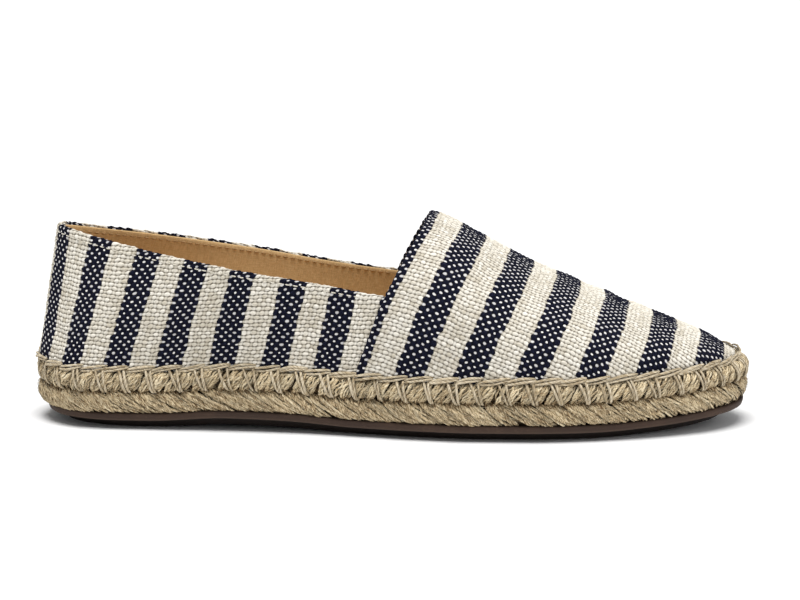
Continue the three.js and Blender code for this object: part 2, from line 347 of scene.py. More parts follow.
class Rim:
    """The widest outline of the sole as one closed line, from the heel by the lateral side to the toe."""

    STATIONS = 900

    def __init__(self, last: Last) -> None:
        """Walks round the outline of the last at even steps."""
        turn = np.linspace(0, math.pi, self.STATIONS)
        x = -last.tip * np.cos(turn)
        lateral = np.stack([x, last.outline_y(x, -1, Inset())], axis=1)
        medial = np.stack([x, last.outline_y(x, 1, Inset())], axis=1)[::-1]
        line = np.concatenate([lateral[:-1], medial[:-1]])
        closed = np.concatenate([line, line[:1]])
        self.last = last
        self.reach = np.concatenate([[0], np.cumsum(np.linalg.norm(np.diff(closed, axis=0), axis=1))])
        self.line = closed
        self.girth = float(self.reach[-1])

    def spot(self, along: Array) -> Array:
        """X and Y at a distance round the rim from the back of the heel."""
        along = np.mod(along, self.girth)
        return np.stack([np.interp(along, self.reach, self.line[:, k]) for k in (0, 1)], axis=-1)

    def outward(self, along: Array, span: float = 2.5) -> Array:
        """Unit X and Y pointing straight out of the rim, smoothed over a span."""
        tangent = self.spot(along + span) - self.spot(along - span)
        tangent = tangent / np.linalg.norm(tangent, axis=-1, keepdims=True)
        return np.stack([tangent[..., 1], -tangent[..., 0]], axis=-1)

    def point(self, along: Array, height: Array, inset: Sequence[Array]) -> Array:
        """Points beside the rim.

        Args:
            along: distance round the rim.
            height: height over the underside of the jute.
            inset: how far inside the rim along the sides, at the heel and at the toe.

        Returns:
            The points, with x, y and z last.
        """
        out = self.outward(along)
        side, heel, toe = inset
        ahead = out[..., 0] ** 2
        end = np.where(out[..., 0] < 0, heel, toe)
        depth = side * (1 - ahead) + end * ahead
        spot = self.spot(along) - out * depth[..., None]
        return np.concatenate([spot, (self.last.jute_bottom(spot[..., 0]) + height)[..., None]], axis=-1)

    def yarns(self, along: Array, height: Array, inset: Sequence[Array], rise: float) -> tuple[Array, Array]:
        """Paths of many yarns beside the rim, with the points of a yarn along the last axis.

        Args:
            along: distance round the rim.
            height: height over the underside of the jute.
            inset: how far inside the rim along the sides, at the heel and at the toe.
            rise: how far the outward directions lean up.

        Returns:
            Yarns by points, and the direction away from the shoe at each point.
        """
        paths = self.point(along, height + 0 * along, inset)
        out = self.outward(along)
        outward = np.concatenate([out, np.full((*out.shape[:-1], 1), rise)], axis=-1)
        shape = (-1, along.shape[-1], 3)
        return paths.reshape(shape), outward.reshape(shape)


class Quarter:
    """The canvas band round the heel as a surface: a share along each side, and a share of the height."""

    STATIONS = 500

    def __init__(self, last: Last, grow: float) -> None:
        """Measures the bottom edge and the topline on both sides.

        Args:
            last: the form.
            grow: how far outside the upper's own surface.
        """
        self.last = last
        self.grow = grow
        self.edges = {side: (self._foot(side), self._top(side)) for side in Side}

    def _foot(self, side: Side) -> Array:
        """Length walked, x, y and z along the bottom edge from the heel."""
        last = self.last
        inset = Inset(last.feather.side - self.grow, last.feather.heel - self.grow, last.feather.toe)
        back = -last.tip + inset.heel
        x = back + (last.quarter_front_foot - back) * np.linspace(0, 1, self.STATIONS) ** 2
        return self._walked(x, last.outline_y(x, side.value, inset), last.feather_height(x))

    def _top(self, side: Side) -> Array:
        """Length walked, x, y and z along the topline from the heel."""
        last = self.last
        back = (last.topline_back - 0.5) * last.length - self.grow
        x = back + (last.quarter_front_top - back) * np.linspace(0, 1, self.STATIONS) ** 2
        along = last.share(x)
        half = TOPLINE.at(side.name.lower(), along) + self.grow
        centre = (last.outline_y(x, 1, Inset()) + last.outline_y(x, -1, Inset())) / 2
        ends = last.topline_round.half(x - back + last.topline_blunt) * last.topline_end.half(x - back)
        y = centre + (side.value * half - centre) * ends
        return self._walked(x, y, TOPLINE.at("height", along))

    @staticmethod
    def _walked(x: Array, y: Array, z: Array) -> Array:
        """Columns of length walked, x, y and z."""
        line = np.stack([x, y, z], axis=1)
        steps = np.linalg.norm(np.diff(line, axis=0), axis=1)
        return np.column_stack([np.concatenate([[0], np.cumsum(steps)]), line])

    def length(self, side: Side, top: bool) -> float:
        """Length of the topline or of the bottom edge on one side."""
        return float(self.edges[side][int(top)][-1, 0])

    def point(self, side: Side, share: Array, up: Array) -> Array:
        """Points on one side of the band.

        Args:
            side: which side.
            share: place along it, 0 at the back of the heel and 1 at the front end.
            up: 0 at the bottom edge, 1 at the topline.

        Returns:
            The points, with x, y and z last.
        """
        last = self.last
        ends = []
        for edge in self.edges[side]:
            walked = share * edge[-1, 0]
            ends.append(np.stack([np.interp(walked, edge[:, 0], edge[:, k]) for k in (1, 2, 3)], axis=-1))
        point = lerp(ends[0], ends[1], np.asarray(up)[..., None])
        full = np.minimum(share / last.bulge_full, 1)
        point[..., 1] += side.value * last.bulge * np.sin(math.pi * np.clip(up, 0, 1)) * full
        arch = last.arch_y(point[..., 0], point[..., 2], side.value, self.grow)
        point[..., 1] = lerp(point[..., 1], arch, smooth(point[..., 0], last.blend_from, last.blend_to))
        return point


def surface_normals(points: Array, flip: bool) -> Array:
    """Unit normals of a grid of points.

    Args:
        points: rows by columns of points.
        flip: turns them to the other side.

    Returns:
        One normal for each point.
    """
    across = np.gradient(points, axis=1)
    along = np.gradient(points, axis=0)
    normal = np.cross(across, along) * (-1 if flip else 1)
    size = np.linalg.norm(normal, axis=-1, keepdims=True)
    return normal / np.maximum(size, 1e-9)


def make_mesh(name: str, points: Array, quads: Array, caps: Array | None = None) -> Object:
    """Makes a smooth-shaded mesh object.

    Args:
        name: name of the piece.
        points: its points, in millimetres.
        quads: four point numbers for each face.
        caps: point numbers of the end faces, the same count for each, or None.

    Returns:
        The object, linked to the scene.
    """
    mesh = bpy.data.meshes.new(name)
    points = points.reshape(-1, 3) * MM
    loops = quads.ravel()
    totals = np.full(len(quads), 4)
    if caps is not None:
        loops = np.concatenate([loops, caps.ravel()])
        totals = np.concatenate([totals, np.full(len(caps), caps.shape[1])])
    mesh.vertices.add(len(points))
    mesh.vertices.foreach_set("co", points.ravel().astype(np.float32))
    mesh.loops.add(len(loops))
    mesh.loops.foreach_set("vertex_index", loops.astype(np.int32))
    mesh.polygons.add(len(totals))
    mesh.polygons.foreach_set("loop_start", (np.cumsum(totals) - totals).astype(np.int32))
    mesh.polygons.foreach_set("loop_total", totals.astype(np.int32))
    mesh.update(calc_edges=True)
    mesh.shade_smooth()
    piece = bpy.data.objects.new(name, mesh)
    bpy.context.scene.collection.objects.link(piece)
    return piece


def lay_map(piece: Object, places: Array) -> None:
    """Gives a mesh its fabric map: two numbers for each point."""
    layer = piece.data.uv_layers.new(name=FABRIC_MAP)
    loops = np.empty(len(piece.data.loops), np.int32)
    piece.data.loops.foreach_get("vertex_index", loops)
    layer.data.foreach_set("uv", places.reshape(-1, 2)[loops].ravel().astype(np.float32))


def lay_shade(piece: Object, values: Array) -> None:
    """Gives a mesh one number a point, by which its finish varies from yarn to yarn; it also carries painted
    shade in the braid's valley and under the rubber's band.
    """
    attribute = piece.data.attributes.new(SHADE, "FLOAT", "POINT")
    attribute.data.foreach_set("value", values.ravel().astype(np.float32))


def grid_quads(rows: int, columns: int, flip: bool = False, closed: bool = False) -> Array:
    """Faces of a grid.

    Args:
        rows: number of rows of points.
        columns: number of points in a row.
        flip: turns the faces over.
        closed: joins the last column to the first.

    Returns:
        Four point numbers for each face.
    """
    row, column = np.meshgrid(np.arange(rows - 1), np.arange(columns - (not closed)), indexing="ij")
    following = (column + 1) % columns
    corners = [row * columns + column, row * columns + following]
    corners += [(row + 1) * columns + following, (row + 1) * columns + column]
    quads = np.stack([c.ravel() for c in corners], axis=1)
    return quads[:, ::-1] if flip else quads


def make_tubes(
    name: str,
    paths: Array,
    radii: Array,
    outward: Array,
    sides: int = 7,
    flat: float = 1.0,
    shades: Array | None = None,
) -> Object:
    """Makes many round yarns as one mesh.

    Args:
        name: name of the piece.
        paths: yarns by points along each.
        radii: half thickness at each of those points.
        outward: direction away from the shoe at each of those points.
        sides: number of sides of a yarn.
        flat: thickness in the outward direction as a share of the width.
        shades: one number for each yarn or for each of its points.

    Returns:
        The object, with its map (length along, share around) and its shades.
    """
    count, steps = paths.shape[:2]
    along = np.gradient(paths, axis=1)
    along /= np.maximum(np.linalg.norm(along, axis=-1, keepdims=True), 1e-9)
    beside = np.cross(along, outward)
    beside /= np.maximum(np.linalg.norm(beside, axis=-1, keepdims=True), 1e-9)
    away = np.cross(beside, along)
    turn = 2 * math.pi * np.arange(sides) / sides - math.pi / 2
    ring = np.cos(turn)[:, None] * beside[:, :, None] + flat * np.sin(turn)[:, None] * away[:, :, None]
    points = paths[:, :, None] + radii[:, :, None, None] * ring
    base = (np.arange(count) * steps * sides)[:, None, None]
    quads = (base + grid_quads(steps, sides, closed=True)[None]).reshape(-1, 4)
    first = base[:, :, 0] + np.arange(sides)[None, ::-1]
    last = base[:, :, 0] + (steps - 1) * sides + np.arange(sides)[None]
    piece = make_mesh(name, points, quads, np.concatenate([first, last]))
    walked = np.cumsum(np.linalg.norm(np.diff(paths, axis=1, prepend=paths[:, :1]), axis=-1), axis=1)
    start = TUBE_OFFSET * np.arange(count)[:, None]
    lengths = np.broadcast_to((walked + start)[:, :, None], (count, steps, sides))
    around = np.broadcast_to(np.arange(sides) / sides, (count, steps, sides))
    lay_map(piece, np.stack([lengths, around], axis=-1))
    shades = np.zeros((count, 1)) if shades is None else shades.reshape(count, -1)
    lay_shade(piece, np.broadcast_to(shades[:, :, None], (count, steps, sides)))
    return piece


def settle(piece: Object, slot: Slot, material: Material, *nodes: str) -> Object:
    """Dresses a piece, makes it ride on the body and stand for its CAD nodes.

    Args:
        piece: the object.
        slot: the record's material slot; not used.
        material: its finish.
        nodes: CAD nodes that it replaces.

    Returns:
        The same object.
    """
    piece.data.materials.append(material)
    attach(piece, BODY)
    if nodes:
        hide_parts(*nodes)
    return piece


def math_operator(operation: str, reflected: bool = False) -> Callable[..., "Value"]:
    """Makes an operator of Value out of one Math node.

    Args:
        operation: the node's operation.
        reflected: puts the other operand first.

    Returns:
        The operator.
    """

    def apply(value: "Value", *others: Any) -> "Value":
        """Adds the node."""
        operands = (*others, value) if reflected else (value, *others)
        return value.graph.math(operation, *operands)

    return apply


class Value:
    """One shader socket, so that shader maths reads as a Python expression."""

    __add__ = __radd__ = math_operator("ADD")
    __sub__ = math_operator("SUBTRACT")
    __rsub__ = math_operator("SUBTRACT", reflected=True)
    __mul__ = __rmul__ = math_operator("MULTIPLY")
    __truediv__ = math_operator("DIVIDE")
    __mod__ = math_operator("FLOORED_MODULO")
    __lt__ = math_operator("LESS_THAN")
    __abs__ = math_operator("ABSOLUTE")
    floor = math_operator("FLOOR")
    cos = math_operator("COSINE")
    sin = math_operator("SINE")
    sqrt = math_operator("SQRT")
    most = math_operator("MAXIMUM")

    def __init__(self, graph: "Graph", socket: Socket) -> None:
        """Wraps a socket of the graph."""
        self.graph = graph
        self.socket = socket

    def step(self, low: float, high: float) -> "Value":
        """A soft step from 0 at low to 1 at high."""
        settings = {"interpolation_type": "SMOOTHSTEP"}
        return self.graph.node("ShaderNodeMapRange", settings, {0: self, 1: low, 2: high}).out()


class Made:
    """A node that was added, with its outputs by name or number."""

    def __init__(self, graph: "Graph", node: bpy.types.Node) -> None:
        """Wraps a node of the graph."""
        self.graph = graph
        self.raw = node

    def out(self, name: int | str = 0) -> Value:
        """One output."""
        return Value(self.graph, self.raw.outputs[name])


class Graph:
    """The node tree of one material."""

    def __init__(self, name: str) -> None:
        """Makes a material with a plain shader."""
        self.material = bpy.data.materials.new(name)
        self.material.use_nodes = True
        self.tree = self.material.node_tree
        self.shader = self.tree.nodes["Principled BSDF"]

    def node(
        self, kind: str, settings: dict[str, Any] | None = None, inputs: dict[Any, Any] | None = None
    ) -> Made:
        """Adds a node.

        Args:
            kind: the node's type.
            settings: its properties; "stops" are a colour ramp's places and colours.
            inputs: values or links for its sockets, by name or number.

        Returns:
            The node.
        """
        node = self.tree.nodes.new(kind)
        for key, value in (settings or {}).items():
            if key == "stops":
                self._set_stops(node.color_ramp, value)
            else:
                setattr(node, key, value)
        for key, value in (inputs or {}).items():
            self.feed(node.inputs[key], value)
        return Made(self, node)

    @staticmethod
    def _set_stops(ramp: bpy.types.ColorRamp, stops: Sequence[tuple[float, Colour]]) -> None:
        """Gives a colour ramp its stops."""
        while len(ramp.elements) < len(stops):
            ramp.elements.new(1.0)
        for element, (place, colour) in zip(ramp.elements, stops):
            element.position = place
            element.color = (*colour, 1)

    def feed(self, socket: Socket, value: Any) -> None:
        """Links a value to a socket, or sets the socket to a number or colour."""
        if isinstance(value, Value):
            self.tree.links.new(value.socket, socket)
        elif socket.type == "RGBA" and len(value) == 3:
            socket.default_value = (*value, 1)
        else:
            socket.default_value = value

    def math(self, operation: str, *values: Any) -> Value:
        """One Math node."""
        return self.node("ShaderNodeMath", {"operation": operation}, dict(enumerate(values))).out()

    def blend(self, share: Any, start: Any, end: Any) -> Value:
        """Mixes two colours."""
        settings = {"data_type": "RGBA", "blend_type": "MIX"}
        return self.node("ShaderNodeMix", settings, {0: share, 6: start, 7: end}).out(2)

    def places(self) -> tuple[Value, Value]:
        """The two numbers of the fabric map."""
        uv = self.node("ShaderNodeUVMap", {"uv_map": FABRIC_MAP}).out()
        parts = self.node("ShaderNodeSeparateXYZ", {}, {0: uv})
        return parts.out(0), parts.out(1)

    def shade(self) -> Value:
        """The number that differs from yarn to yarn, which also carries painted shade in the braid's valley
        and under the rubber's band.
        """
        return self.node("ShaderNodeAttribute", {"attribute_name": SHADE}).out("Fac")

    def vector(self, x: Any, y: Any, z: Any = 0.0) -> Value:
        """Three values as one vector."""
        return self.node("ShaderNodeCombineXYZ", {}, {0: x, 1: y, 2: z}).out()

    def noise(self, scale: float, detail: float = 2.0, where: Value | None = None) -> Value:
        """Cloudy noise, in object space unless a place is given."""
        where = where or self.node("ShaderNodeTexCoord").out("Object")
        inputs = {"Vector": where, "Scale": scale, "Detail": detail}
        return self.node("ShaderNodeTexNoise", {}, inputs).out("Fac")

    def noise_over(self, detail: float, x: Any, y: Any, z: Any = 0.0) -> Value:
        """Cloudy noise over three values, with swings about 1 long."""
        return self.noise(1.0, detail, self.vector(x, y, z))

    def speckle(self, x: Any, y: Any) -> Value:
        """A random number for each pair of whole numbers."""
        settings = {"noise_dimensions": "2D"}
        return self.node("ShaderNodeTexWhiteNoise", settings, {"Vector": self.vector(x, y)}).out("Value")

    def bump(
        self, height: Value, distance: float, strength: float = 1.0, under: Value | None = None
    ) -> Value:
        """A Bump node, over another one if given."""
        inputs = {"Height": height, "Distance": distance, "Strength": strength}
        if under is not None:
            inputs["Normal"] = under
        return self.node("ShaderNodeBump", {}, inputs).out()

    def finish(self, colour: Value, roughness: Any, normal: Value, **constants: float) -> Material:
        """Feeds the shader.

        Args:
            colour: base colour.
            roughness: roughness, a value or a number.
            normal: normal.
            constants: other sockets of the shader, with _ for each space.

        Returns:
            The material.
        """
        for name, value in (("Base Color", colour), ("Roughness", roughness), ("Normal", normal)):
            self.feed(self.shader.inputs[name], value)
        for name, value in constants.items():
            self.shader.inputs[name.replace("_", " ")].default_value = value
        return self.material


def wander(x: Array, y: Array, cell: float, seed: int) -> Array:
    """Smooth random values from -1 to 1 over two coordinates.

    Args:
        x: first coordinate.
        y: second coordinate.
        cell: size of one swing.
        seed: start of the random numbers.

    Returns:
        One value for each place.
    """
    size = WANDER_CELLS
    table = np.random.default_rng(seed).uniform(-1, 1, (size, size))
    low = [np.floor(place / cell).astype(int) for place in (x, y)]
    share = [smooth(place / cell - base, 0, 1) for place, base in zip((x, y), low)]
    corners = [[table[(low[0] + i) % size, (low[1] + j) % size] for j in (0, 1)] for i in (0, 1)]
    sides = [lerp(corners[i][0], corners[i][1], share[1]) for i in (0, 1)]
    return lerp(sides[0], sides[1], share[0])


@dataclass(frozen=True)
class Oval:
    """The part of a yarn that shows: its half sizes in ends and picks, and its height."""

    wide: float
    tall: float
    high: float


@dataclass(frozen=True)
class Weave:
    """A plain weave: in the cream stripes the weft stands up, and in the navy ones the warp does.

    Attributes:
        cream_warp: the warp where it lies on top in a cream stripe; the other ovals likewise.
        height: height of the highest yarns over the gaps, in millimetres.
        sunk: share of that height that lies below the canvas's own surface.
        uneven: how much the yarns' height varies.
        uneven_cell: size of a swing of that height, in yarns.
        stripe: warp ends in a stripe.
        first: the warp end at which a navy stripe begins.
        sways: share of a yarn and size of a swing in yarns, two across the warp, then two along it.
    """

    cream_warp: Oval = Oval(0.5, 0.51, 0.68)
    cream_weft: Oval = Oval(0.71, 0.51, 1.0)
    navy_warp: Oval = Oval(0.6, 0.7, 1.0)
    navy_weft: Oval = Oval(0.5, 0.42, 0.6)
    height: float = 0.5
    sunk: float = 0.45
    uneven: float = 0.36
    uneven_cell: float = 1.3
    stripe: int = 6
    first: int = 3
    sways: tuple[Pair, ...] = ((0.22, 6.1), (0.23, 1.6), (0.2, 7.3), (0.23, 1.7))

    def sway(self, ends: Array, picks: Array, seed: int) -> tuple[Array, Array]:
        """Lets the yarns wander a little, as woven cloth does.

        Args:
            ends: place across the warp.
            picks: place across the weft.
            seed: start of the random numbers.

        Returns:
            The places after the wander.
        """
        swings = [size * wander(ends, picks, cell, seed + i) for i, (size, cell) in enumerate(self.sways)]
        return ends + (swings[0] + swings[1]), picks + (swings[2] + swings[3])

    def domes(self, across: Any, along: Any, odd: Any, navy: Any) -> list[Any]:
        """Squared heights of the yarn in its own cell and of the yarns that reach in from beside it.

        Args:
            across: distance from the cell's middle across the warp, 0 to 0.5.
            along: distance from the cell's middle along the warp, 0 to 0.5.
            odd: 1 where the weft lies on top, 0 where the warp does.
            navy: 1 in a navy stripe, 0 in a cream one.

        Returns:
            Three squared heights, below 0 outside the yarn.
        """
        sizes = []
        for name in ("wide", "tall", "high"):
            warp = lerp(getattr(self.cream_warp, name), getattr(self.navy_warp, name), navy)
            weft = lerp(getattr(self.cream_weft, name), getattr(self.navy_weft, name), navy)
            sizes.append((lerp(warp, weft, odd), lerp(weft, warp, odd)))
        heights = []
        for x, y, which in ((across, along, 0), (1 - across, along, 1), (across, 1 - along, 1)):
            u = x / sizes[0][which]
            v = y / sizes[1][which]
            heights.append((1 - u * u - v * v) * sizes[2][which] * sizes[2][which])
        return heights

    def relief(self, ends: Array, picks: Array) -> Array:
        """Height of the yarns over the canvas's own surface, in millimetres."""
        odd = np.mod(np.floor(ends) + np.floor(picks), 2)
        navy = (np.mod(np.floor(ends) - self.first, 2 * self.stripe) < self.stripe) * 1.0
        across = np.abs(np.mod(ends, 1) - 0.5)
        along = np.abs(np.mod(picks, 1) - 0.5)
        top = np.max(self.domes(across, along, odd, navy), axis=0)
        uneven = 1 + self.uneven * wander(ends, picks, self.uneven_cell, 5)
        return self.height * np.sqrt(np.maximum(top, 0)) * uneven - self.sunk * self.height


WEAVE = Weave()


@dataclass(frozen=True)
class CanvasFinish:
    """Striped canvas: navy and cream warp in broad stripes, and cream weft all over.

    Attributes:
        navy: the navy warp, and navy_fuzz_sheen a lighter bluish navy in random streaks: painted sheen on its
            fuzz.
        cream: the cream yarns, and cream_shade where they are dull.
        gap: painted shade in the gaps between cream yarns, and pit_shade the painted shade in those between
            navy ones.
        dot: the cream weft in a navy stripe, and dot_shade where it is dull.
        scallop: how far the navy warp bulges over a stripe's edge, in yarns.
        dot_oval: half sizes of such a dot, in ends and picks.
    """

    navy: Colour = srgb(11, 12, 24)
    # navy_fuzz_sheen: painted sheen on the fuzz of the navy warp
    navy_fuzz_sheen: Colour = srgb(33, 37, 64)
    cream: Colour = srgb(236, 231, 220)
    cream_shade: Colour = srgb(196, 187, 169)
    # gap and pit_shade are painted shade, laid in the hollows between the yarns
    gap: Colour = srgb(104, 95, 80)
    pit_shade: Colour = (0.002, 0.002, 0.004)
    dot: Colour = srgb(250, 248, 244)
    dot_shade: Colour = srgb(205, 204, 207)
    scallop: float = 0.17
    dot_oval: Pair = (0.35, 0.3)

    def make(self) -> Material:
        """Builds the material from the fabric map."""
        g = Graph("canvas")
        a, b = g.places()
        end = a.floor()
        pick = b.floor()
        odd = (end + pick) % 2
        fa = abs(a - end - 0.5)
        fb = abs(b - pick - 0.5)
        seam = (a + 0.5).floor()
        wave = ((b - 0.5) * math.pi).cos() * (1 - 2 * ((seam - 1) % 2)) * self.scallop
        warp = (a - wave).floor()
        navy = ((warp - WEAVE.first) % (2 * WEAVE.stripe)) < WEAVE.stripe - 0.5
        order = (end - WEAVE.first) % (2 * WEAVE.stripe)
        in_navy = order < WEAVE.stripe - 0.5

        cell = g.speckle(end, pick)
        size = 0.8 + cell * 0.36
        right = a - end - 0.5
        open_left = (order < 0.5) * (right < 0.0)
        open_right = (abs(order - (WEAVE.stripe - 1)) < 0.5) * (1 - (right < 0.0))
        wide = fa / self.dot_oval[0] * (1 - open_left) * (1 - open_right)
        tall = fb / self.dot_oval[1]
        oval = (wide * wide + tall * tall).sqrt() / size
        dot = (1 - oval.step(0.8, 1.16)) * odd
        dark = navy * (1 - dot)

        domes = WEAVE.domes(fa, fb, odd, in_navy)
        relief = domes[0].most(domes[1]).most(domes[2]).most(0.0).sqrt()
        # hollow_shade: painted shade, darkest in the hollows between the yarns' domes
        hollow_shade = (1 - relief).step(0.25, 0.95)

        yarn = g.speckle(warp + 0.5, 3.5) * 0.5 + g.speckle(pick + 0.5, 9.5) * 0.5
        slub = g.noise_over(3.0, a * 1.7, b * 0.35)
        cross_slub = g.noise_over(3.0, a * 0.35, b * 1.7, 5.0)
        cloud = g.noise(42.0, 2.0)
        tone = yarn * 0.25 + cell * 0.25 + slub * 0.3 + cross_slub * 0.3 + cloud * 0.25
        cream = g.blend(tone.step(0.35, 0.95), self.cream_shade, self.cream)
        cream = g.blend(dot * navy, cream, g.blend(cell, self.dot, self.dot_shade))
        # painted shade in the gaps between cream yarns
        pale = g.blend(hollow_shade * 0.86, cream, self.gap)
        fuzz = g.noise_over(4.0, a * 6.0, b * 2.2, 2.0)
        # painted sheen on the navy's fuzz, laid in random streaks
        deep = g.blend(fuzz.step(0.42, 0.8), self.navy, self.navy_fuzz_sheen)
        # painted shade in the pits between navy yarns
        deep = g.blend(hollow_shade * 0.6, deep, self.pit_shade)
        colour = g.blend(dark, pale, deep)

        twist_weft = g.noise_over(2.0, a * 3.2 + b * 4.0, b * 7.0)
        twist_warp = g.noise_over(2.0, a * 7.0, b * 3.2 + a * 4.0)
        twist = twist_weft * odd + twist_warp * (1 - odd)
        under = g.bump(relief, 0.0003, 0.6)
        normal = g.bump(twist, 0.00025, 0.6, under)
        return g.finish(colour, 0.95, normal, Specular_IOR_Level=0.12)


@dataclass(frozen=True)
class YarnFinish:
    """A twisted plant-fibre yarn with fine fibres along it.

    Attributes:
        name: name of the material.
        light: its palest fibres; then middle, dark, and deep, the painted shade between the yarns.
        crevice_shade: how much of that painted shade shows on the side towards the shoe.
        twist: turns in a millimetre.
        fibres: how many fibres stand side by side.
        depth: depth of the fibres, in metres.
    """

    name: str
    light: Colour
    middle: Colour
    dark: Colour
    # deep: painted shade for the crevices between the yarns
    deep: Colour = srgb(48, 34, 20)
    crevice_shade: float = 0.85
    twist: float = 0.22
    fibres: float = 0.95
    depth: float = 0.0007

    def make(self) -> Material:
        """Builds the material from the map (length along, share around)."""
        g = Graph(self.name)
        along, around = g.places()
        turn = (around + along * self.twist) * (2 * math.pi)
        ring = g.vector(turn.cos() * self.fibres, turn.sin() * self.fibres, along * 0.22)
        fibre = g.noise(1.6, 4.0, ring)
        coarse = g.noise_over(2.0, turn.cos(), turn.sin(), along * 0.3 + 7.0)
        cloud = g.noise(55.0, 2.0)
        # the shade attribute gives random tone from yarn to yarn, and on the braid painted shade in the
        # valley
        tone = fibre.step(0.36, 0.64) * 0.55 + coarse * 0.2 + g.shade() * 0.32 + cloud * 0.15
        stops = [(0.16, self.dark), (0.52, self.middle), (0.88, self.light)]
        colour = g.node("ShaderNodeValToRGB", {"stops": stops}, {0: tone}).out()
        # painted shade on the side of each yarn that faces the shoe, where the yarns crowd together
        inward = (around * (2 * math.pi)).cos()
        colour = g.blend(inward.step(-0.85, 0.3) * self.crevice_shade, colour, self.deep)
        normal = g.bump(fibre, self.depth, 1.0)
        return g.finish(colour, 0.75, normal, Specular_IOR_Level=0.35)


JUTE_STRAND = YarnFinish("jute_strand", srgb(246, 230, 196), srgb(212, 189, 148), srgb(106, 79, 48))
# the core's jute is painted darker than the strands: painted shade behind the strands
JUTE_CORE_SHADED = YarnFinish("jute_core_shaded", srgb(150, 126, 88), srgb(104, 83, 54), srgb(54, 40, 24))
JUTE_TWINE = YarnFinish(
    "jute_twine", srgb(222, 208, 182), srgb(182, 163, 130), srgb(102, 80, 50), crevice_shade=0.4
)


@dataclass(frozen=True)
class LiningFinish:
    """Plain tan cotton, closely woven."""

    light: Colour = srgb(218, 184, 134)
    dark: Colour = srgb(184, 148, 99)
    count: float = 2.1

    def make(self) -> Material:
        """Builds the material from the map in millimetres."""
        g = Graph("lining_cotton")
        u, v = g.places()
        weave = (u * (self.count * 2 * math.pi)).sin() * (v * (self.count * 2 * math.pi)).sin()
        slub = g.noise_over(3.0, u * 2.4, v * 0.4) + g.noise_over(3.0, u * 0.4, v * 2.4, 4.0)
        cloud = g.noise(28.0, 2.0)
        # the weave's relief also tints the colour a little: faint painted shade in its hollows and painted
        # light on its tops
        tone = slub * 0.5 + weave * 0.09 + cloud * 0.35
        colour = g.blend(tone.step(0.4, 0.95), self.dark, self.light)
        normal = g.bump(weave * 0.5 + slub, 0.00012, 0.6)
        return g.finish(colour, 0.86, normal, Sheen_Weight=0.1, Specular_IOR_Level=0.25)


@dataclass(frozen=True)
class RubberFinish:
    """Matt mauve-brown moulded rubber, dusty on its edge; below the band a darker colour, partly the tread's
    own and partly painted shade.
    """

    body: Colour = srgb(71, 54, 44)
    dust: Colour = srgb(91, 74, 62)
    worn: Colour = srgb(59, 44, 36)
    # tread: darker brown for the underside and the wall below the band, partly the tread's own colour and
    # partly painted shade under the band
    tread: Colour = srgb(38, 31, 28)

    def make(self) -> Material:
        """Builds the material in object space."""
        g = Graph("sole_rubber")
        cloud = g.noise(60.0, 4.0)
        speck = g.noise(900.0, 2.0)
        colour = g.blend(cloud.step(0.35, 0.7), self.worn, self.body)
        colour = g.blend((speck * 0.6 + cloud * 0.4).step(0.52, 0.74) * 0.35, colour, self.dust)
        # side is 0 low down and 1 on the band: below it the tread colour stands partly for painted shade
        side = g.shade()
        lip = side * (1 - side) * 2.4
        colour = g.blend(lip, g.blend(side, self.tread, colour), self.dust)
        normal = g.bump(speck + g.noise(260.0, 3.0), 0.0001, 0.5)
        roughness = 0.62 + cloud * 0.2
        return g.finish(colour, roughness, normal, Specular_IOR_Level=0.25)


@dataclass(frozen=True)
class ThreadFinish:
    """Smooth spun sewing thread, with painted shade in the grooves between its plies."""

    name: str
    colour: Colour
    shade: Colour

    def make(self) -> Material:
        """Builds the material from the map (length along, share around)."""
        g = Graph(self.name)
        along, around = g.places()
        ply = ((around + along * 0.9) * (4 * math.pi)).sin()
        # painted shade: the shade colour lies in the grooves between the plies
        colour = g.blend(ply.step(-1.0, 0.6), self.shade, self.colour)
        normal = g.bump(ply, 0.00006, 0.6)
        return g.finish(colour, 0.6, normal, Sheen_Weight=0.1)


HEM_THREAD = ThreadFinish("hem_thread", srgb(226, 220, 206), srgb(190, 182, 166))
LINING_THREAD = ThreadFinish("lining_thread", srgb(176, 138, 88), srgb(140, 104, 62))


@dataclass(frozen=True)
class Crease:
    """A soft fold in the canvas, in ends and picks of the fabric map.

    Attributes:
        end: place of its middle across the warp.
        pick: place of its middle across the weft.
        length: half its length, in millimetres.
        width: half its width, in millimetres.
        angle: its direction in degrees, 0 across the warp ends.
        depth: how deep the trough is, in millimetres.
        ridge: height of the soft ridges beside it, as a share of the depth.
        ridge_place: their place, in half widths.
    """

    end: float
    pick: float
    length: float
    width: float
    angle: float
    depth: float
    ridge: float = 0.45
    ridge_place: float = 1.7

    def height(self, ends: Array, picks: Array) -> Array:
        """Height that the crease adds at places of the fabric map."""
        x = (ends - self.end) * Canvas.warp_pitch
        y = (picks - self.pick) * Canvas.weft_pitch
        turn = math.radians(self.angle)
        along = (x * math.cos(turn) + y * math.sin(turn)) / self.length
        across = (y * math.cos(turn) - x * math.sin(turn)) / self.width
        ridge = self.ridge * np.exp(-((np.abs(across) - self.ridge_place) ** 2))
        trough = np.exp(-(across**2)) - ridge
        return -self.depth * trough * np.exp(-(along**2))


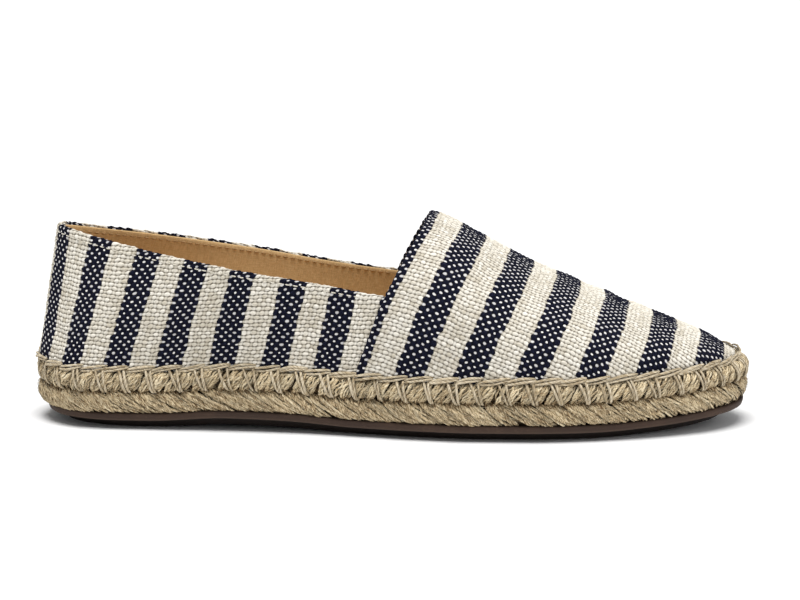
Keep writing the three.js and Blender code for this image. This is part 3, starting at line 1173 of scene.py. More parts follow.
@dataclass
class Canvas:
    """The canvas outside of the shoe: the band round the heel and the vamp over the foot.

    Attributes:
        last: the form.
        material: its finish.
        samples: points to a warp end of the band, and quarter_rows from its bottom edge to the hem.
        quarter_front: warp ends on each side of the band.
        covered_from: warp end from which the vamp covers the band, covered_depth lower.
        vamp_throat: warp end at the throat edge, and vamp_end the one at the toe.
        vamp_ridge: X and spacing of the warp ends on the ridge, and vamp_foot those on the bottom
            edge, both counted from the warp end vamp_from.
        tip_gap: how far the last lines stay off the very toe.
        crowding: how closely the lines of points stand at the bottom edge.
        hem_steps: steps round a hem, which then runs on inside by quarter_turned or vamp_turned.
        tuck: how far the bottom edges turn in, and tuck_drop down.
    """

    last: Last
    material: Material
    samples: int = 4
    quarter_rows: int = 112
    quarter_front: float = 90.8
    covered_from: float = 86.0
    covered_depth: float = 0.3
    vamp_throat: float = 4.6
    vamp_end: float = 80.9
    vamp_columns: int = 276
    vamp_half_rows: int = 168
    vamp_from: float = 6.0
    vamp_ridge: Pair = (16.6, 1.41)
    vamp_foot: Pair = (-7.2, 1.725)
    tip_gap: float = 0.02
    crowding: float = 1.3
    hem_steps: int = 8
    quarter_turned: tuple[float, ...] = (1.0, 2.2)
    vamp_turned: tuple[float, ...] = (7.0, 3.5, 1.2)
    tuck: float = 0.9
    tuck_drop: float = 0.5
    quarter_creases: tuple[Crease, ...] = (
        Crease(58, 13, 14, 3.0, 84, 0.5),
        Crease(-52, 14, 16, 3.2, 82, 0.55),
        Crease(-72, 9, 12, 2.6, 70, 0.45),
        Crease(-27, 17, 15, 3.4, 96, 0.5),
        Crease(30, 16, 15, 3.4, 95, 0.5),
        Crease(-11, 8, 10, 2.8, 20, 0.4),
        Crease(12, 8, 10, 2.8, -20, 0.4),
    )
    vamp_creases: tuple[Crease, ...] = (
        Crease(44, 0, 24, 4.0, 90, 0.5),
        Crease(52, 6, 20, 3.6, 78, 0.4),
        Crease(22, -22, 12, 3.0, 70, 0.45),
        Crease(24, 24, 12, 3.0, -70, 0.45),
        Crease(66, -11, 9, 2.6, 30, 0.5),
        Crease(67, 12, 9, 2.6, -30, 0.5),
    )
    warp_pitch = 1.5
    weft_pitch = 1.45
    WALKED = Table(
        "ends top foot",
        [
            (0, 0, 0), (9, 10.1, 17.4), (15, 20.3, 24.8), (21, 29.9, 32.8),
            (27, 40.1, 41.5), (57, 84.7, 88.1), (91, 135.1, 140.6),
        ],
    )

    def quarter_share(self, quarter: Quarter, side: Side, ends: Array, up: Array) -> Array:
        """Share along one side of the band at a warp end.

        Args:
            quarter: the band's surface.
            side: which side.
            ends: count of warp ends from the back of the heel.
            up: 0 at the bottom edge, 1 at the topline.

        Returns:
            Shares for Quarter.point.
        """
        foot = self.WALKED.at("foot", ends) / quarter.length(side, False)
        top = self.WALKED.at("top", ends) / quarter.length(side, True)
        return np.clip(lerp(foot, top, up), 0, 1)

    def quarter_points(self, grow: float, ends: Array, up: Array) -> Array:
        """Points of the band at signed warp ends, below 0 on the lateral side."""
        quarter = Quarter(self.last, grow)
        points = [
            quarter.point(side, self.quarter_share(quarter, side, np.abs(ends), up), up) for side in Side
        ]
        return np.where((ends < 0)[..., None], points[0], points[1])

    def make_quarter(self) -> Object:
        """The band, from its tucked bottom edge up and over the topline hem."""
        last = self.last
        radius = last.wall / 2
        count = int(2 * self.quarter_front * self.samples)
        ends = np.linspace(-self.quarter_front, self.quarter_front, count)
        rows = self.quarter_rows
        grid_ends = np.broadcast_to(ends, (rows, count))
        tops = self.quarter_points(0, ends, np.ones(count))
        feet = self.quarter_points(0, ends, np.zeros(count))
        height = np.linalg.norm(tops - feet, axis=-1)
        share = np.linspace(0, 1, rows)[:, None] * (1 - radius / height)
        body = self.quarter_points(0, grid_ends, share)
        picks = share * height / self.weft_pitch

        inner = self.quarter_points(-last.wall, ends, np.ones(count))
        out = tops - inner
        out[:, 2] = 0
        out /= np.linalg.norm(out, axis=-1, keepdims=True)
        rise = body[-1] - body[-2]
        rise /= np.linalg.norm(rise, axis=-1, keepdims=True)
        centre = body[-1] - out * radius
        turns = np.linspace(0, math.pi, self.hem_steps + 1)[1:, None, None]
        roll = centre + radius * (np.cos(turns) * out + np.sin(turns) * rise)
        drop = np.array(self.quarter_turned)[:, None, None]
        inside = roll[-1] - drop * rise
        over = np.concatenate([turns[:, 0, 0] * radius, math.pi * radius + drop[:, 0, 0]])
        below = np.array([0.5, 1.0])[:, None, None]
        under = body[0] - below * (out * self.tuck + rise * self.tuck_drop)
        points = np.concatenate([under[::-1], body, roll, inside])
        hem_picks = picks[-1] + over[:, None] / self.weft_pitch
        tuck_picks = picks[0] - below[::-1, :, 0] * self.tuck / self.weft_pitch
        picks = np.concatenate([np.broadcast_to(tuck_picks, (2, count)), picks, hem_picks])
        grid_ends = np.broadcast_to(ends, picks.shape)

        seen = 1 - smooth(np.abs(grid_ends), self.covered_from, self.covered_from + 2)
        creases = sum(c.height(grid_ends, picks) for c in self.quarter_creases)
        grid_ends, picks = WEAVE.sway(grid_ends, picks, 31)
        height = WEAVE.relief(grid_ends, picks) * seen - self.covered_depth * (1 - seen) + creases * seen
        points = points + surface_normals(points, True) * height[..., None]
        piece = make_mesh("quarter_canvas", points, grid_quads(*picks.shape, flip=True))
        lay_map(piece, np.stack([grid_ends, picks], axis=-1))
        return settle(piece, Slot.CANVAS, self.material, "upper")

    def vamp_lines(self, ends: Array, grow: float) -> tuple[Array, Array]:
        """Lines over the foot, each at one warp end, at even steps of length.

        Args:
            ends: count of warp ends from the throat edge.
            grow: how far outside the upper's own surface.

        Returns:
            Points (rows by lines), and the length walked from the ridge, below 0 on the lateral side.
        """
        last = self.last
        tip = last.tip - last.feather.toe + min(grow - last.lap, 0) - self.tip_gap
        counted = ends - self.vamp_from
        top, foot = (np.minimum(x + pitch * counted, tip) for x, pitch in (self.vamp_ridge, self.vamp_foot))
        rows = self.vamp_half_rows
        angle = (math.pi / 2 * np.linspace(0, 1, 3 * rows) ** self.crowding)[:, None]
        halves = []
        for side in Side:
            dense = last.slanted(foot[None], top[None], angle, side.value, grow)
            steps = np.linalg.norm(np.diff(dense, axis=0), axis=-1)
            walked = np.concatenate([np.zeros((1, len(ends))), np.cumsum(steps, axis=0)])
            even = np.empty((rows + 1, len(ends), 3))
            for i in range(len(ends)):
                goal = np.linspace(0, walked[-1, i], rows + 1)
                for k in range(3):
                    even[:, i, k] = np.interp(goal, walked[:, i], dense[:, i, k])
            length = (1 - np.linspace(0, 1, rows + 1))[:, None] * walked[-1]
            halves.append((even, length))
        points = np.concatenate([halves[0][0], halves[1][0][-2::-1]])
        walked = np.concatenate([-halves[0][1], halves[1][1][-2::-1]])
        return points, walked

    def make_vamp(self) -> Object:
        """The vamp, from the fold at the throat to the toe, tucked along its bottom edge."""
        last = self.last
        radius = last.wall / 2
        ends = np.linspace(self.vamp_throat, self.vamp_end, self.vamp_columns)
        body, walked = self.vamp_lines(ends, last.lap)
        picks = walked / self.weft_pitch

        ahead = body[:, 1] - body[:, 0]
        ahead /= np.linalg.norm(ahead, axis=-1, keepdims=True)
        out = surface_normals(body, False)[:, 0]
        centre = body[:, 0] - out * radius
        turns = np.linspace(math.pi, 0, self.hem_steps + 1)[:-1, None, None]
        roll = centre + radius * (np.cos(turns) * out - np.sin(turns) * ahead)
        drop = np.array(self.vamp_turned)[:, None, None]
        inside = roll[0] + drop * ahead
        points = np.concatenate([np.moveaxis(inside, 0, 1), np.moveaxis(roll, 0, 1), body], axis=1)
        folded = np.concatenate([math.pi * radius + drop[:, 0, 0], turns[:, 0, 0] * radius])
        grid_ends = np.concatenate([self.vamp_throat - folded / self.warp_pitch, ends])
        grid_picks = np.concatenate([np.repeat(picks[:, :1], len(folded), axis=1), picks], axis=1)
        grid_ends = np.broadcast_to(grid_ends, grid_picks.shape)

        creases = sum(c.height(grid_ends, grid_picks) for c in self.vamp_creases)
        woven_ends, woven_picks = WEAVE.sway(grid_ends + WEAVE.first, grid_picks, 41)
        height = WEAVE.relief(woven_ends, woven_picks) + creases
        points = points + surface_normals(points, False) * height[..., None]
        edges = []
        for row, sign in ((0, -1), (-1, 1)):
            edges.append(points[row] - np.array([0, sign * self.tuck, self.tuck_drop]))
        points = np.concatenate([edges[:1], points, edges[1:]])
        beyond = self.tuck / self.weft_pitch
        rows = [woven_picks[:1] - beyond, woven_picks, woven_picks[-1:] + beyond]
        woven_picks = np.concatenate(rows)
        woven_ends = np.concatenate([woven_ends[:1], woven_ends, woven_ends[-1:]])
        piece = make_mesh("vamp_canvas", points, grid_quads(*woven_picks.shape))
        lay_map(piece, np.stack([woven_ends, woven_picks], axis=-1))
        return settle(piece, Slot.CANVAS, self.material)


@dataclass
class Lining:
    """The cotton inside of the canvas, folded under just below the topline."""

    canvas: Canvas
    material: Material
    below: float = 0.9
    fold: float = 0.35
    quarter_columns: int = 300
    quarter_rows: int = 32
    vamp_columns: int = 110

    def make_quarter(self) -> Object:
        """The lining of the band."""
        last = self.canvas.last
        front = self.canvas.quarter_front
        ends = np.linspace(-front, front, self.quarter_columns)
        shape = (self.quarter_rows, self.quarter_columns)
        grid_ends = np.broadcast_to(ends, shape)
        height = TOPLINE.rows[:, 1].mean() - last.rubber_thick - last.jute_thick
        up = np.broadcast_to(np.linspace(0, 1 - self.below / height, self.quarter_rows)[:, None], shape)
        body = self.canvas.quarter_points(-last.wall - self.fold, grid_ends, up)
        edge = self.canvas.quarter_points(-last.wall + 0.4, ends, up[-1] + 0.004)
        middle = self.canvas.quarter_points(-last.wall - 0.05, ends, up[-1] + 0.009)
        points = np.concatenate([body, middle[None], edge[None]])
        grid_ends = np.broadcast_to(ends, points.shape[:2])
        length = up * height
        length = np.concatenate([length, length[-1:] + 0.4, length[-1:] + 0.8])
        piece = make_mesh("quarter_lining", points, grid_quads(*points.shape[:2]))
        lay_map(piece, np.stack([grid_ends * Canvas.warp_pitch, length], axis=-1))
        return settle(piece, Slot.LINING, self.material)

    def make_vamp(self) -> Object:
        """The lining of the vamp."""
        canvas = self.canvas
        last = canvas.last
        ends = np.linspace(canvas.vamp_throat + 0.9, canvas.vamp_end - 0.4, self.vamp_columns)
        points, walked = canvas.vamp_lines(ends, last.lap - last.wall - self.fold)
        points = points[::4]
        walked = walked[::4]
        lengths = np.broadcast_to(ends * Canvas.warp_pitch, walked.shape)
        piece = make_mesh("vamp_lining", points, grid_quads(*walked.shape, flip=True))
        lay_map(piece, np.stack([lengths, walked], axis=-1))
        return settle(piece, Slot.LINING, self.material)


@dataclass
class Insole:
    """The cloth sock that lies on the jute inside the shoe.

    Attributes:
        last: the form.
        material: its finish.
        thick: its thickness.
        columns: points along it, and rows across it.
        dish: depth of the hollow under the foot.
        reach: how far it spreads at the sides, up to the lining.
        edge: how sharply its edge is rolled.
    """

    last: Last
    material: Material
    thick: float = 1.8
    columns: int = 160
    rows: int = 40
    dish: float = 0.7
    reach: float = 1.0
    edge: float = 26.0

    def make(self) -> Object:
        """The sock with a rolled edge and a shallow dish under the foot."""
        last = self.last
        turn = np.linspace(0, math.pi, self.columns)
        back = -last.tip + last.insole.heel
        front = last.tip - last.insole.toe
        x = lerp(back, front, (1 - np.cos(turn)) / 2)
        across = np.linspace(-1, 1, self.rows)[:, None]
        sides = [last.outline_y(x, side.value, last.insole) for side in Side]
        spare = self.reach * np.sin(turn)
        y = lerp(sides[0] - spare, sides[1] + spare, (across + 1) / 2)
        rim = np.minimum((1 - np.abs(across)) * self.edge, 1)
        bottom = last.feather_height(x) + 0 * across
        hollow = self.dish * (1 - across**2) * np.sin(turn) ** 0.5
        z = bottom + self.thick * np.sqrt(np.clip(rim * (2 - rim), 0, 1)) - hollow
        x = x + 0 * across
        points = np.stack([x, y, z], axis=-1)
        piece = make_mesh("insole_sock", points, grid_quads(self.rows, self.columns))
        lay_map(piece, points[..., :2])
        return settle(piece, Slot.LINING, self.material, "insole")


@dataclass(frozen=True)
class BraidRow:
    """How the strands of one row of the braid lie.

    Attributes:
        table: the way a strand goes from the valley to its outer end.
        slope: angle of the strands to the ground in degrees.
        wide: half width of a strand as a share of the strands' spacing.
        deep: half depth of a strand.
        thick: half thickness of a yarn.
        stray: how far single yarns leave their strand.
        pinch: how far the stitches pull the strands in.
        pale: how pale its yarns are, about 0 to 1.
    """

    table: Table
    slope: float
    wide: float
    deep: float
    thick: float
    stray: float
    pinch: float
    pale: float


@dataclass
class JuteSole:
    """A jute braid on edge round the sole: two rows of slanted strands that meet in a valley.

    Attributes:
        last: the form.
        rim: the line it goes round.
        strand: finish of the strands, and core that of the jute behind them, painted darker as shade.
        strands: strands in a row, each of so many yarns with so many steps along them.
        shingle: how far one side of a strand stands out over its neighbour.
        start_jitter: how far a strand may start from its place, as a share of the spacing.
        lean_range: least and most of the strands' usual lean.
        lay_range: least and most turn of the yarns along a strand, in radians.
        lay_jitter: unevenness of that turn.
        drift: how far a yarn leaves its line from step to step.
        rough: unevenness of the yarns' depth, and strand_depth that of the strands'.
        rise_jitter: unevenness of the yarns' height.
        start_swell: thickness of a strand in the valley, as a share of its full thickness.
        yarn_range: thinnest and thickest of the yarns, and fibre_range that of the fibres.
        tone_spread: how much the yarns differ in tone.
        valley_shade: painted shade on the yarns in the valley, which ends at the steps valley_end.
        stitch_width: half width of the dent that a stitch makes.
        fibres: number of loose fibres, with fibre_steps along each and fibre_thick half through.
        seed: start of the random numbers.
    """

    last: Last
    rim: Rim
    strand: Material
    core: Material
    strands: int = 130
    yarns: int = 10
    steps: int = 11
    shingle: float = 0.3
    start_jitter: float = 0.16
    lean_range: Pair = (0.8, 1.2)
    lay_range: Pair = (0.9, 1.9)
    lay_jitter: float = 0.16
    drift: float = 0.2
    rough: float = 0.1
    strand_depth: float = 0.25
    rise_jitter: float = 0.2
    start_swell: float = 0.42
    yarn_range: Pair = (0.6, 1.25)
    tone_spread: float = 0.32
    valley_shade: float = 1.1
    valley_end: Pair = (0.05, 0.36)
    stitch_width: float = 1.3
    fibres: int = 1500
    fibre_steps: int = 6
    fibre_thick: float = 0.075
    fibre_range: Pair = (0.7, 1.3)
    seed: int = 7
    UPPER = Table(
        "step height side heel toe",
        [
            (0, 0.46, 4.4, 5.0, 4.4), (0.12, 0.51, 2.7, 3.3, 2.7),
            (0.3, 0.62, 1.2, 1.8, 1.3), (0.56, 0.78, 1.0, 1.5, 1.2),
            (0.76, 0.9, 1.5, 1.7, 2.0), (0.88, 0.955, 2.5, 2.3, 3.4),
            (0.95, 0.975, 3.6, 3.1, 5.2), (1, 0.965, 5.0, 4.6, 7.0),
        ],
    )
    LOWER = Table(
        "step height side heel toe",
        [
            (0, 0.58, 4.4, 5.0, 4.4), (0.12, 0.53, 2.8, 3.3, 2.8),
            (0.32, 0.42, 1.4, 1.6, 1.4), (0.6, 0.24, 1.3, 1.4, 1.5),
            (0.86, 0.1, 2.0, 2.1, 2.3), (1, 0.02, 3.2, 3.7, 3.8),
        ],
    )
    SKIN = Table(
        "height side heel toe",
        [
            (0.02, 2.3, 2.8, 2.9), (0.1, 1.1, 1.2, 1.4), (0.24, 0.3, 0.4, 0.5),
            (0.41, 0.2, 0.5, 0.2), (0.52, 1.6, 2.1, 1.6), (0.62, 0.1, 0.7, 0.2),
            (0.78, 0.0, 0.5, 0.2), (0.9, 0.5, 0.7, 1.0), (1, 2.2, 2.0, 3.8),
        ],
    )

    def make_row(self, name: str, row: BraidRow, seed: int, *nodes: str) -> Object:
        """One row of strands, each of a few yarns laid round each other.

        Args:
            name: name of the piece.
            row: how its strands lie.
            seed: start of the random numbers.
            nodes: CAD nodes that it replaces.

        Returns:
            The row as one object.
        """
        rng = np.random.default_rng(seed)
        count = self.strands
        spacing = self.rim.girth / count
        step = np.linspace(0, 1, self.steps)
        height = row.table.at("height", step)
        start = spacing * (np.arange(count) + rng.uniform(-self.start_jitter, self.start_jitter, count))
        lean = self.last.jute_thick / math.tan(math.radians(row.slope)) * rng.uniform(*self.lean_range, count)
        shape = (count, self.yarns, self.steps)
        drift = np.cumsum(rng.normal(0, self.drift, shape), axis=2)
        drift -= drift.mean(axis=2, keepdims=True)
        drift += rng.normal(0, row.stray, (count, self.yarns, 1)) * (step - 0.3)
        turn = 2 * math.pi * np.arange(self.yarns) / self.yarns + rng.uniform(0, 2 * math.pi, (count, 1))
        laid = rng.uniform(*self.lay_range, (count, 1, 1)) * (step - 0.5)
        turn = turn[:, :, None] + laid + rng.normal(0, self.lay_jitter, shape)
        swell = lerp(self.start_swell, 1.0, smooth(step, 0, 0.5))
        along = start[:, None, None] + lean[:, None, None] * (height - height[0])
        along = along + row.wide * spacing * swell * np.sin(turn) + drift
        depth = -row.deep * swell * np.cos(turn) + rng.normal(0, self.rough, shape)
        depth = depth + rng.uniform(-self.strand_depth, self.strand_depth, (count, 1, 1))
        depth = depth + self.shingle * np.sin(turn)
        stitch = 2 * spacing
        leg = lerp(0.3, -2.4, (height - 0.5) / 0.5)
        beside = np.mod((along - leg) / stitch + 0.5, 1) - 0.5
        pull = row.pinch * smooth(height, 0.38, 0.52)
        depth = depth + pull * np.exp(-((beside * stitch / self.stitch_width) ** 2))
        rise = height * self.last.jute_thick + rng.normal(0, self.rise_jitter, (count, self.yarns, 1))
        inset = [line + depth for line in row.table.insets(step)]
        paths, outward = self.rim.yarns(along, rise, inset, 0.15)
        radii = row.thick * (0.75 + 0.3 * np.sin(math.pi * step) ** 0.6)
        radii = radii * rng.uniform(*self.yarn_range, (count * self.yarns, 1))
        shades = np.clip(rng.normal(row.pale, self.tone_spread, (count * self.yarns, 1)), 0, 1)
        # painted shade: each yarn darkens towards the valley
        shades = shades - self.valley_shade * (1 - smooth(step, *self.valley_end))
        piece = make_tubes(name, paths, radii, outward, 6, 0.85, shades)
        return settle(piece, Slot.JUTE, self.strand, *nodes)

    def make_core(self) -> Object:
        """The wound jute behind the strands, closed over its top and bottom, in a darker finish that is
        painted shade.
        """
        count = 360
        along = np.linspace(0, self.rim.girth, count, endpoint=False)
        levels = [(-0.01, 4.6), (0.1, 3.0), (0.3, 2.3), (0.5, 4.2), (0.7, 2.3), (0.88, 2.8), (0.95, 4.4)]
        rings = []
        for height, inset in levels:
            depth = (inset, inset + 1.2, inset + 0.6)
            rings.append(self.rim.point(along, height * self.last.jute_thick + 0 * along, depth))
        points = np.stack(rings)
        flat = points.copy()
        flat[..., 1] = lerp(points[..., 1], points[..., 1].mean(), 0.999)
        points = np.concatenate([flat[:1], points, flat[-1:]])
        piece = make_mesh("jute_core", points, grid_quads(len(points), count, closed=True))
        lay_map(piece, np.stack([np.broadcast_to(along, points.shape[:2]), points[..., 2] / 6], axis=-1))
        # a low shade value over the whole core: more painted shade
        lay_shade(piece, np.full(points.shape[:2], 0.2))
        return settle(piece, Slot.JUTE, self.core)

    def make_fibres(self) -> Object:
        """Loose fibres that lie on the braid or stand off it."""
        rng = np.random.default_rng(self.seed + 40)
        count = self.fibres
        step = np.linspace(0, 1, self.fibre_steps)
        start = rng.uniform(0, self.rim.girth, (count, 1))
        level = rng.uniform(0.16, 0.94, (count, 1))
        upper = level > 0.5
        slope = np.where(upper, rng.uniform(-1.0, 5.0, (count, 1)), rng.uniform(2.0, 7.0, (count, 1)))
        climb = np.where(upper, 1.0, -1.0) * rng.uniform(-0.05, 0.3, (count, 1))
        curl = rng.normal(0, 0.5, (count, 1)) * np.sin(math.pi * step)
        along = start + slope * step + curl
        height = np.clip(level + climb * step, 0.06, 0.97)
        off = 0.08 + rng.exponential(0.2, (count, 1)) * step**1.5
        inset = [line - off for line in self.SKIN.insets(height)]
        paths, outward = self.rim.yarns(along, height * self.last.jute_thick, inset, 0.1)
        radii = self.fibre_thick * (1 - 0.5 * step) * rng.uniform(*self.fibre_range, (count, 1))
        piece = make_tubes("jute_fibres", paths, radii, outward, 3, 1.0, rng.uniform(0.3, 1, count))
        return settle(piece, Slot.JUTE, self.strand)

    def build(self) -> list[Object]:
        """Makes every piece of the jute sole."""
        upper = BraidRow(self.UPPER, 63, wide=0.42, deep=0.6, thick=0.46, stray=0.5, pinch=0.75, pale=0.44)
        lower = BraidRow(self.LOWER, -35, wide=0.5, deep=0.42, thick=0.46, stray=0.9, pinch=0.9, pale=0.08)
        return [
            self.make_core(),
            self.make_row("braid_upper", upper, self.seed, "jute_sole"),
            self.make_row("braid_lower", lower, self.seed + 1, "jute_sole"),
            self.make_fibres(),
        ]


@dataclass
class BlanketStitch:
    """Doubled jute thread that joins the canvas to the braid: legs down to the valley, and a chain.

    Attributes:
        last: the form.
        rim: the line it goes round.
        material: its finish.
        strands_each: strands of the braid to a stitch.
        thread: half thickness of the thread.
        tops: places of a stitch's two legs along the rim at their tops, and feet those at their feet.
        place_jitter: unevenness of the stitches' places, as a share of their spacing.
        top_jitter: unevenness of the legs' tops along the rim, and foot_jitter that of their feet.
        bow: how far the legs bend to a side, and lift how far they stand off.
        chain_span: where a chain starts before its stitch and ends after the next one.
        chain_thick: half thickness of the chain's threads as a share of the legs'.
        chain_climb: height of a chain's start and end over the edge, and chain_over the edge's own height.
        chain_apart: half distance of a chain's two threads.
        seed: start of the random numbers.
        LEG: the way a leg goes, down to the valley.
    """

    last: Last
    rim: Rim
    material: Material
    strands_each: int = 2
    thread: float = 0.52
    tops: Pair = (-3.6, -1.3)
    feet: Pair = (-0.1, 0.7)
    place_jitter: float = 0.06
    top_jitter: float = 0.45
    foot_jitter: float = 0.18
    bow: float = 0.15
    lift: float = 0.12
    chain_span: Pair = (1.9, 0.3)
    chain_thick: float = 0.95
    chain_climb: Pair = (-1.25, 0.7)
    chain_over: float = 0.55
    chain_apart: float = 0.46
    seed: int = 23
    LEG = Table(
        "step height side heel toe",
        [
            (0, 1.02, 2.2, 1.2, 3.9), (0.12, 0.98, 1.2, 0.9, 2.4),
            (0.3, 0.88, 0.3, 0.8, 0.9), (0.55, 0.73, -0.15, 0.7, 0.0),
            (0.82, 0.57, 0.5, 1.4, 0.6), (1, 0.49, 2.4, 3.2, 2.4),
        ],
    )

    def __post_init__(self) -> None:
        """Places the stitches round the rim."""
        rng = np.random.default_rng(self.seed)
        self.count = JuteSole.strands // self.strands_each
        spacing = self.rim.girth / self.count
        jitter = rng.uniform(-self.place_jitter, self.place_jitter, self.count)
        self.places = spacing * (np.arange(self.count) + jitter)

    def make_legs(self) -> Object:
        """Two threads at each stitch that close to a point in the valley."""
        rng = np.random.default_rng(self.seed + 1)
        steps = 14
        step = np.linspace(0, 1, steps)
        height = self.LEG.at("height", step) * self.last.jute_thick
        shape = (self.count, 2, 1)
        top = np.array(self.tops)[None, :, None] + rng.normal(0, self.top_jitter, shape)
        foot = np.array(self.feet)[None, :, None] + rng.normal(0, self.foot_jitter, shape)
        bow = rng.normal(0, self.bow, shape) * np.sin(math.pi * step)
        along = self.places[:, None, None] + lerp(top, foot, step) + bow
        lift = rng.normal(0, self.lift, shape)
        inset = [line + lift for line in self.LEG.insets(step)]
        paths, outward = self.rim.yarns(along, height, inset, 0.1)
        radii = self.thread * rng.uniform(0.8, 1.12, (len(paths), 1)) * (0.85 + 0.15 * np.sin(math.pi * step))
        shades = rng.uniform(0.3, 1, len(paths))
        piece = make_tubes("stitch_legs", paths, radii, outward, 8, 0.9, shades)
        return settle(piece, Slot.JUTE, self.material)

    def make_chain(self) -> Object:
        """The doubled threads from stitch to stitch along the canvas's bottom edge."""
        rng = np.random.default_rng(self.seed + 2)
        steps = 20
        step = np.linspace(0, 1, steps)
        begin = self.places - self.chain_span[0]
        finish = np.roll(self.places, -1)
        finish[-1] += self.rim.girth
        finish = finish + self.chain_span[1]
        shape = (self.count, 2, 1)
        along = lerp(begin[:, None, None], finish[:, None, None], step) + rng.normal(0, 0.3, shape)
        pair = np.array([self.chain_apart, -self.chain_apart])[None, :, None]
        climb = lerp(*self.chain_climb, step**0.8) + 0.3 * np.sin(math.pi * step)
        dip = rng.uniform(-0.6, 0.35, (self.count, 1, 1)) * np.sin(math.pi * step) ** 2
        apart = pair * (0.5 + 0.7 * np.sin(math.pi * step) ** 0.7) * rng.uniform(0.8, 1.2, (self.count, 1, 1))
        height = self.last.jute_thick + self.last.gap + self.chain_over + climb + dip + apart
        out = -0.8 + 0.9 * np.sin(math.pi * np.clip(step * 1.02, 0, 1)) ** 0.5 + 0.35 * step
        out = out + rng.normal(0, 0.08, shape)
        lap = smooth(self.rim.spot(along)[..., 0], -17.0, -7.0) * self.last.lap
        inset = [2.1 - lap - out, 0.3 - out, 4.3 - lap - out]
        paths, outward = self.rim.yarns(along, height, inset, 0.3)
        taper = 0.55 + 0.45 * np.sin(math.pi * step) ** 0.5
        radii = self.thread * self.chain_thick * rng.uniform(0.85, 1.15, (len(paths), 1)) * taper
        shades = rng.uniform(0.4, 1, len(paths))
        piece = make_tubes("stitch_chain", paths, radii, outward, 8, 0.9, shades)
        return settle(piece, Slot.JUTE, self.material)


@dataclass
class SewnRows:
    """Rows of machine stitches below the topline, outside and inside.

    Attributes:
        canvas: the canvas they are sewn through.
        outer: finish of the thread outside, and inner that of the one inside.
        pitch: distance from stitch to stitch, of which dash can be seen.
        thread: half thickness of the thread.
        last_end: warp end at which the rows stop.
        height: the band's usual height.
        bow: how far the middle of a stitch stands off, and sink how far its ends go in.
    """

    canvas: Canvas
    outer: Material
    inner: Material
    pitch: float = 2.7
    dash: float = 1.7
    thread: float = 0.23
    last_end: float = 84.0
    height: float = 44.0
    bow: float = 0.34
    sink: float = 0.1

    def make_row(self, name: str, grow: float, down: float, material: Material, slot: Slot) -> Object:
        """One row of short stitches on both sides of the band.

        Args:
            name: name of the piece.
            grow: how far outside the upper's own surface.
            down: distance below the topline.
            material: its finish.
            slot: the record's material slot.

        Returns:
            The row as one object.
        """
        quarter = Quarter(self.canvas.last, grow)
        step = np.linspace(0, 1, 7)
        paths = []
        outs = []
        sign = 1 if grow >= 0 else -1
        for side in Side:
            end_walk = float(Canvas.WALKED.at("top", self.last_end))
            starts = np.arange(self.pitch / 2, end_walk, self.pitch)
            walked = starts[:, None] + self.dash * step
            share = walked / quarter.length(side, True)
            up = 1 - down / self.height + 0 * share
            point = quarter.point(side, share, up)
            ahead = np.gradient(point, axis=1)
            out = np.stack([ahead[..., 1], -ahead[..., 0], 0 * ahead[..., 0]], axis=-1) * -side.value * sign
            out /= np.linalg.norm(out, axis=-1, keepdims=True)
            bow = self.bow * np.sin(math.pi * step) ** 0.5 - self.sink
            paths.append(point + out * bow[:, None])
            outs.append(out)
        paths = np.concatenate(paths)
        radii = np.broadcast_to(self.thread * (0.55 + 0.45 * np.sin(math.pi * step) ** 0.5), paths.shape[:2])
        piece = make_tubes(name, paths, radii, np.concatenate(outs), 8, 0.8)
        return settle(piece, slot, material)

    def build(self) -> list[Object]:
        """Makes both rows."""
        inside = -self.canvas.last.wall - 0.35
        return [
            self.make_row("topline_stitches", 0.2, 2.3, self.outer, Slot.CANVAS),
            self.make_row("lining_stitches", inside, 2.4, self.inner, Slot.LINING),
        ]


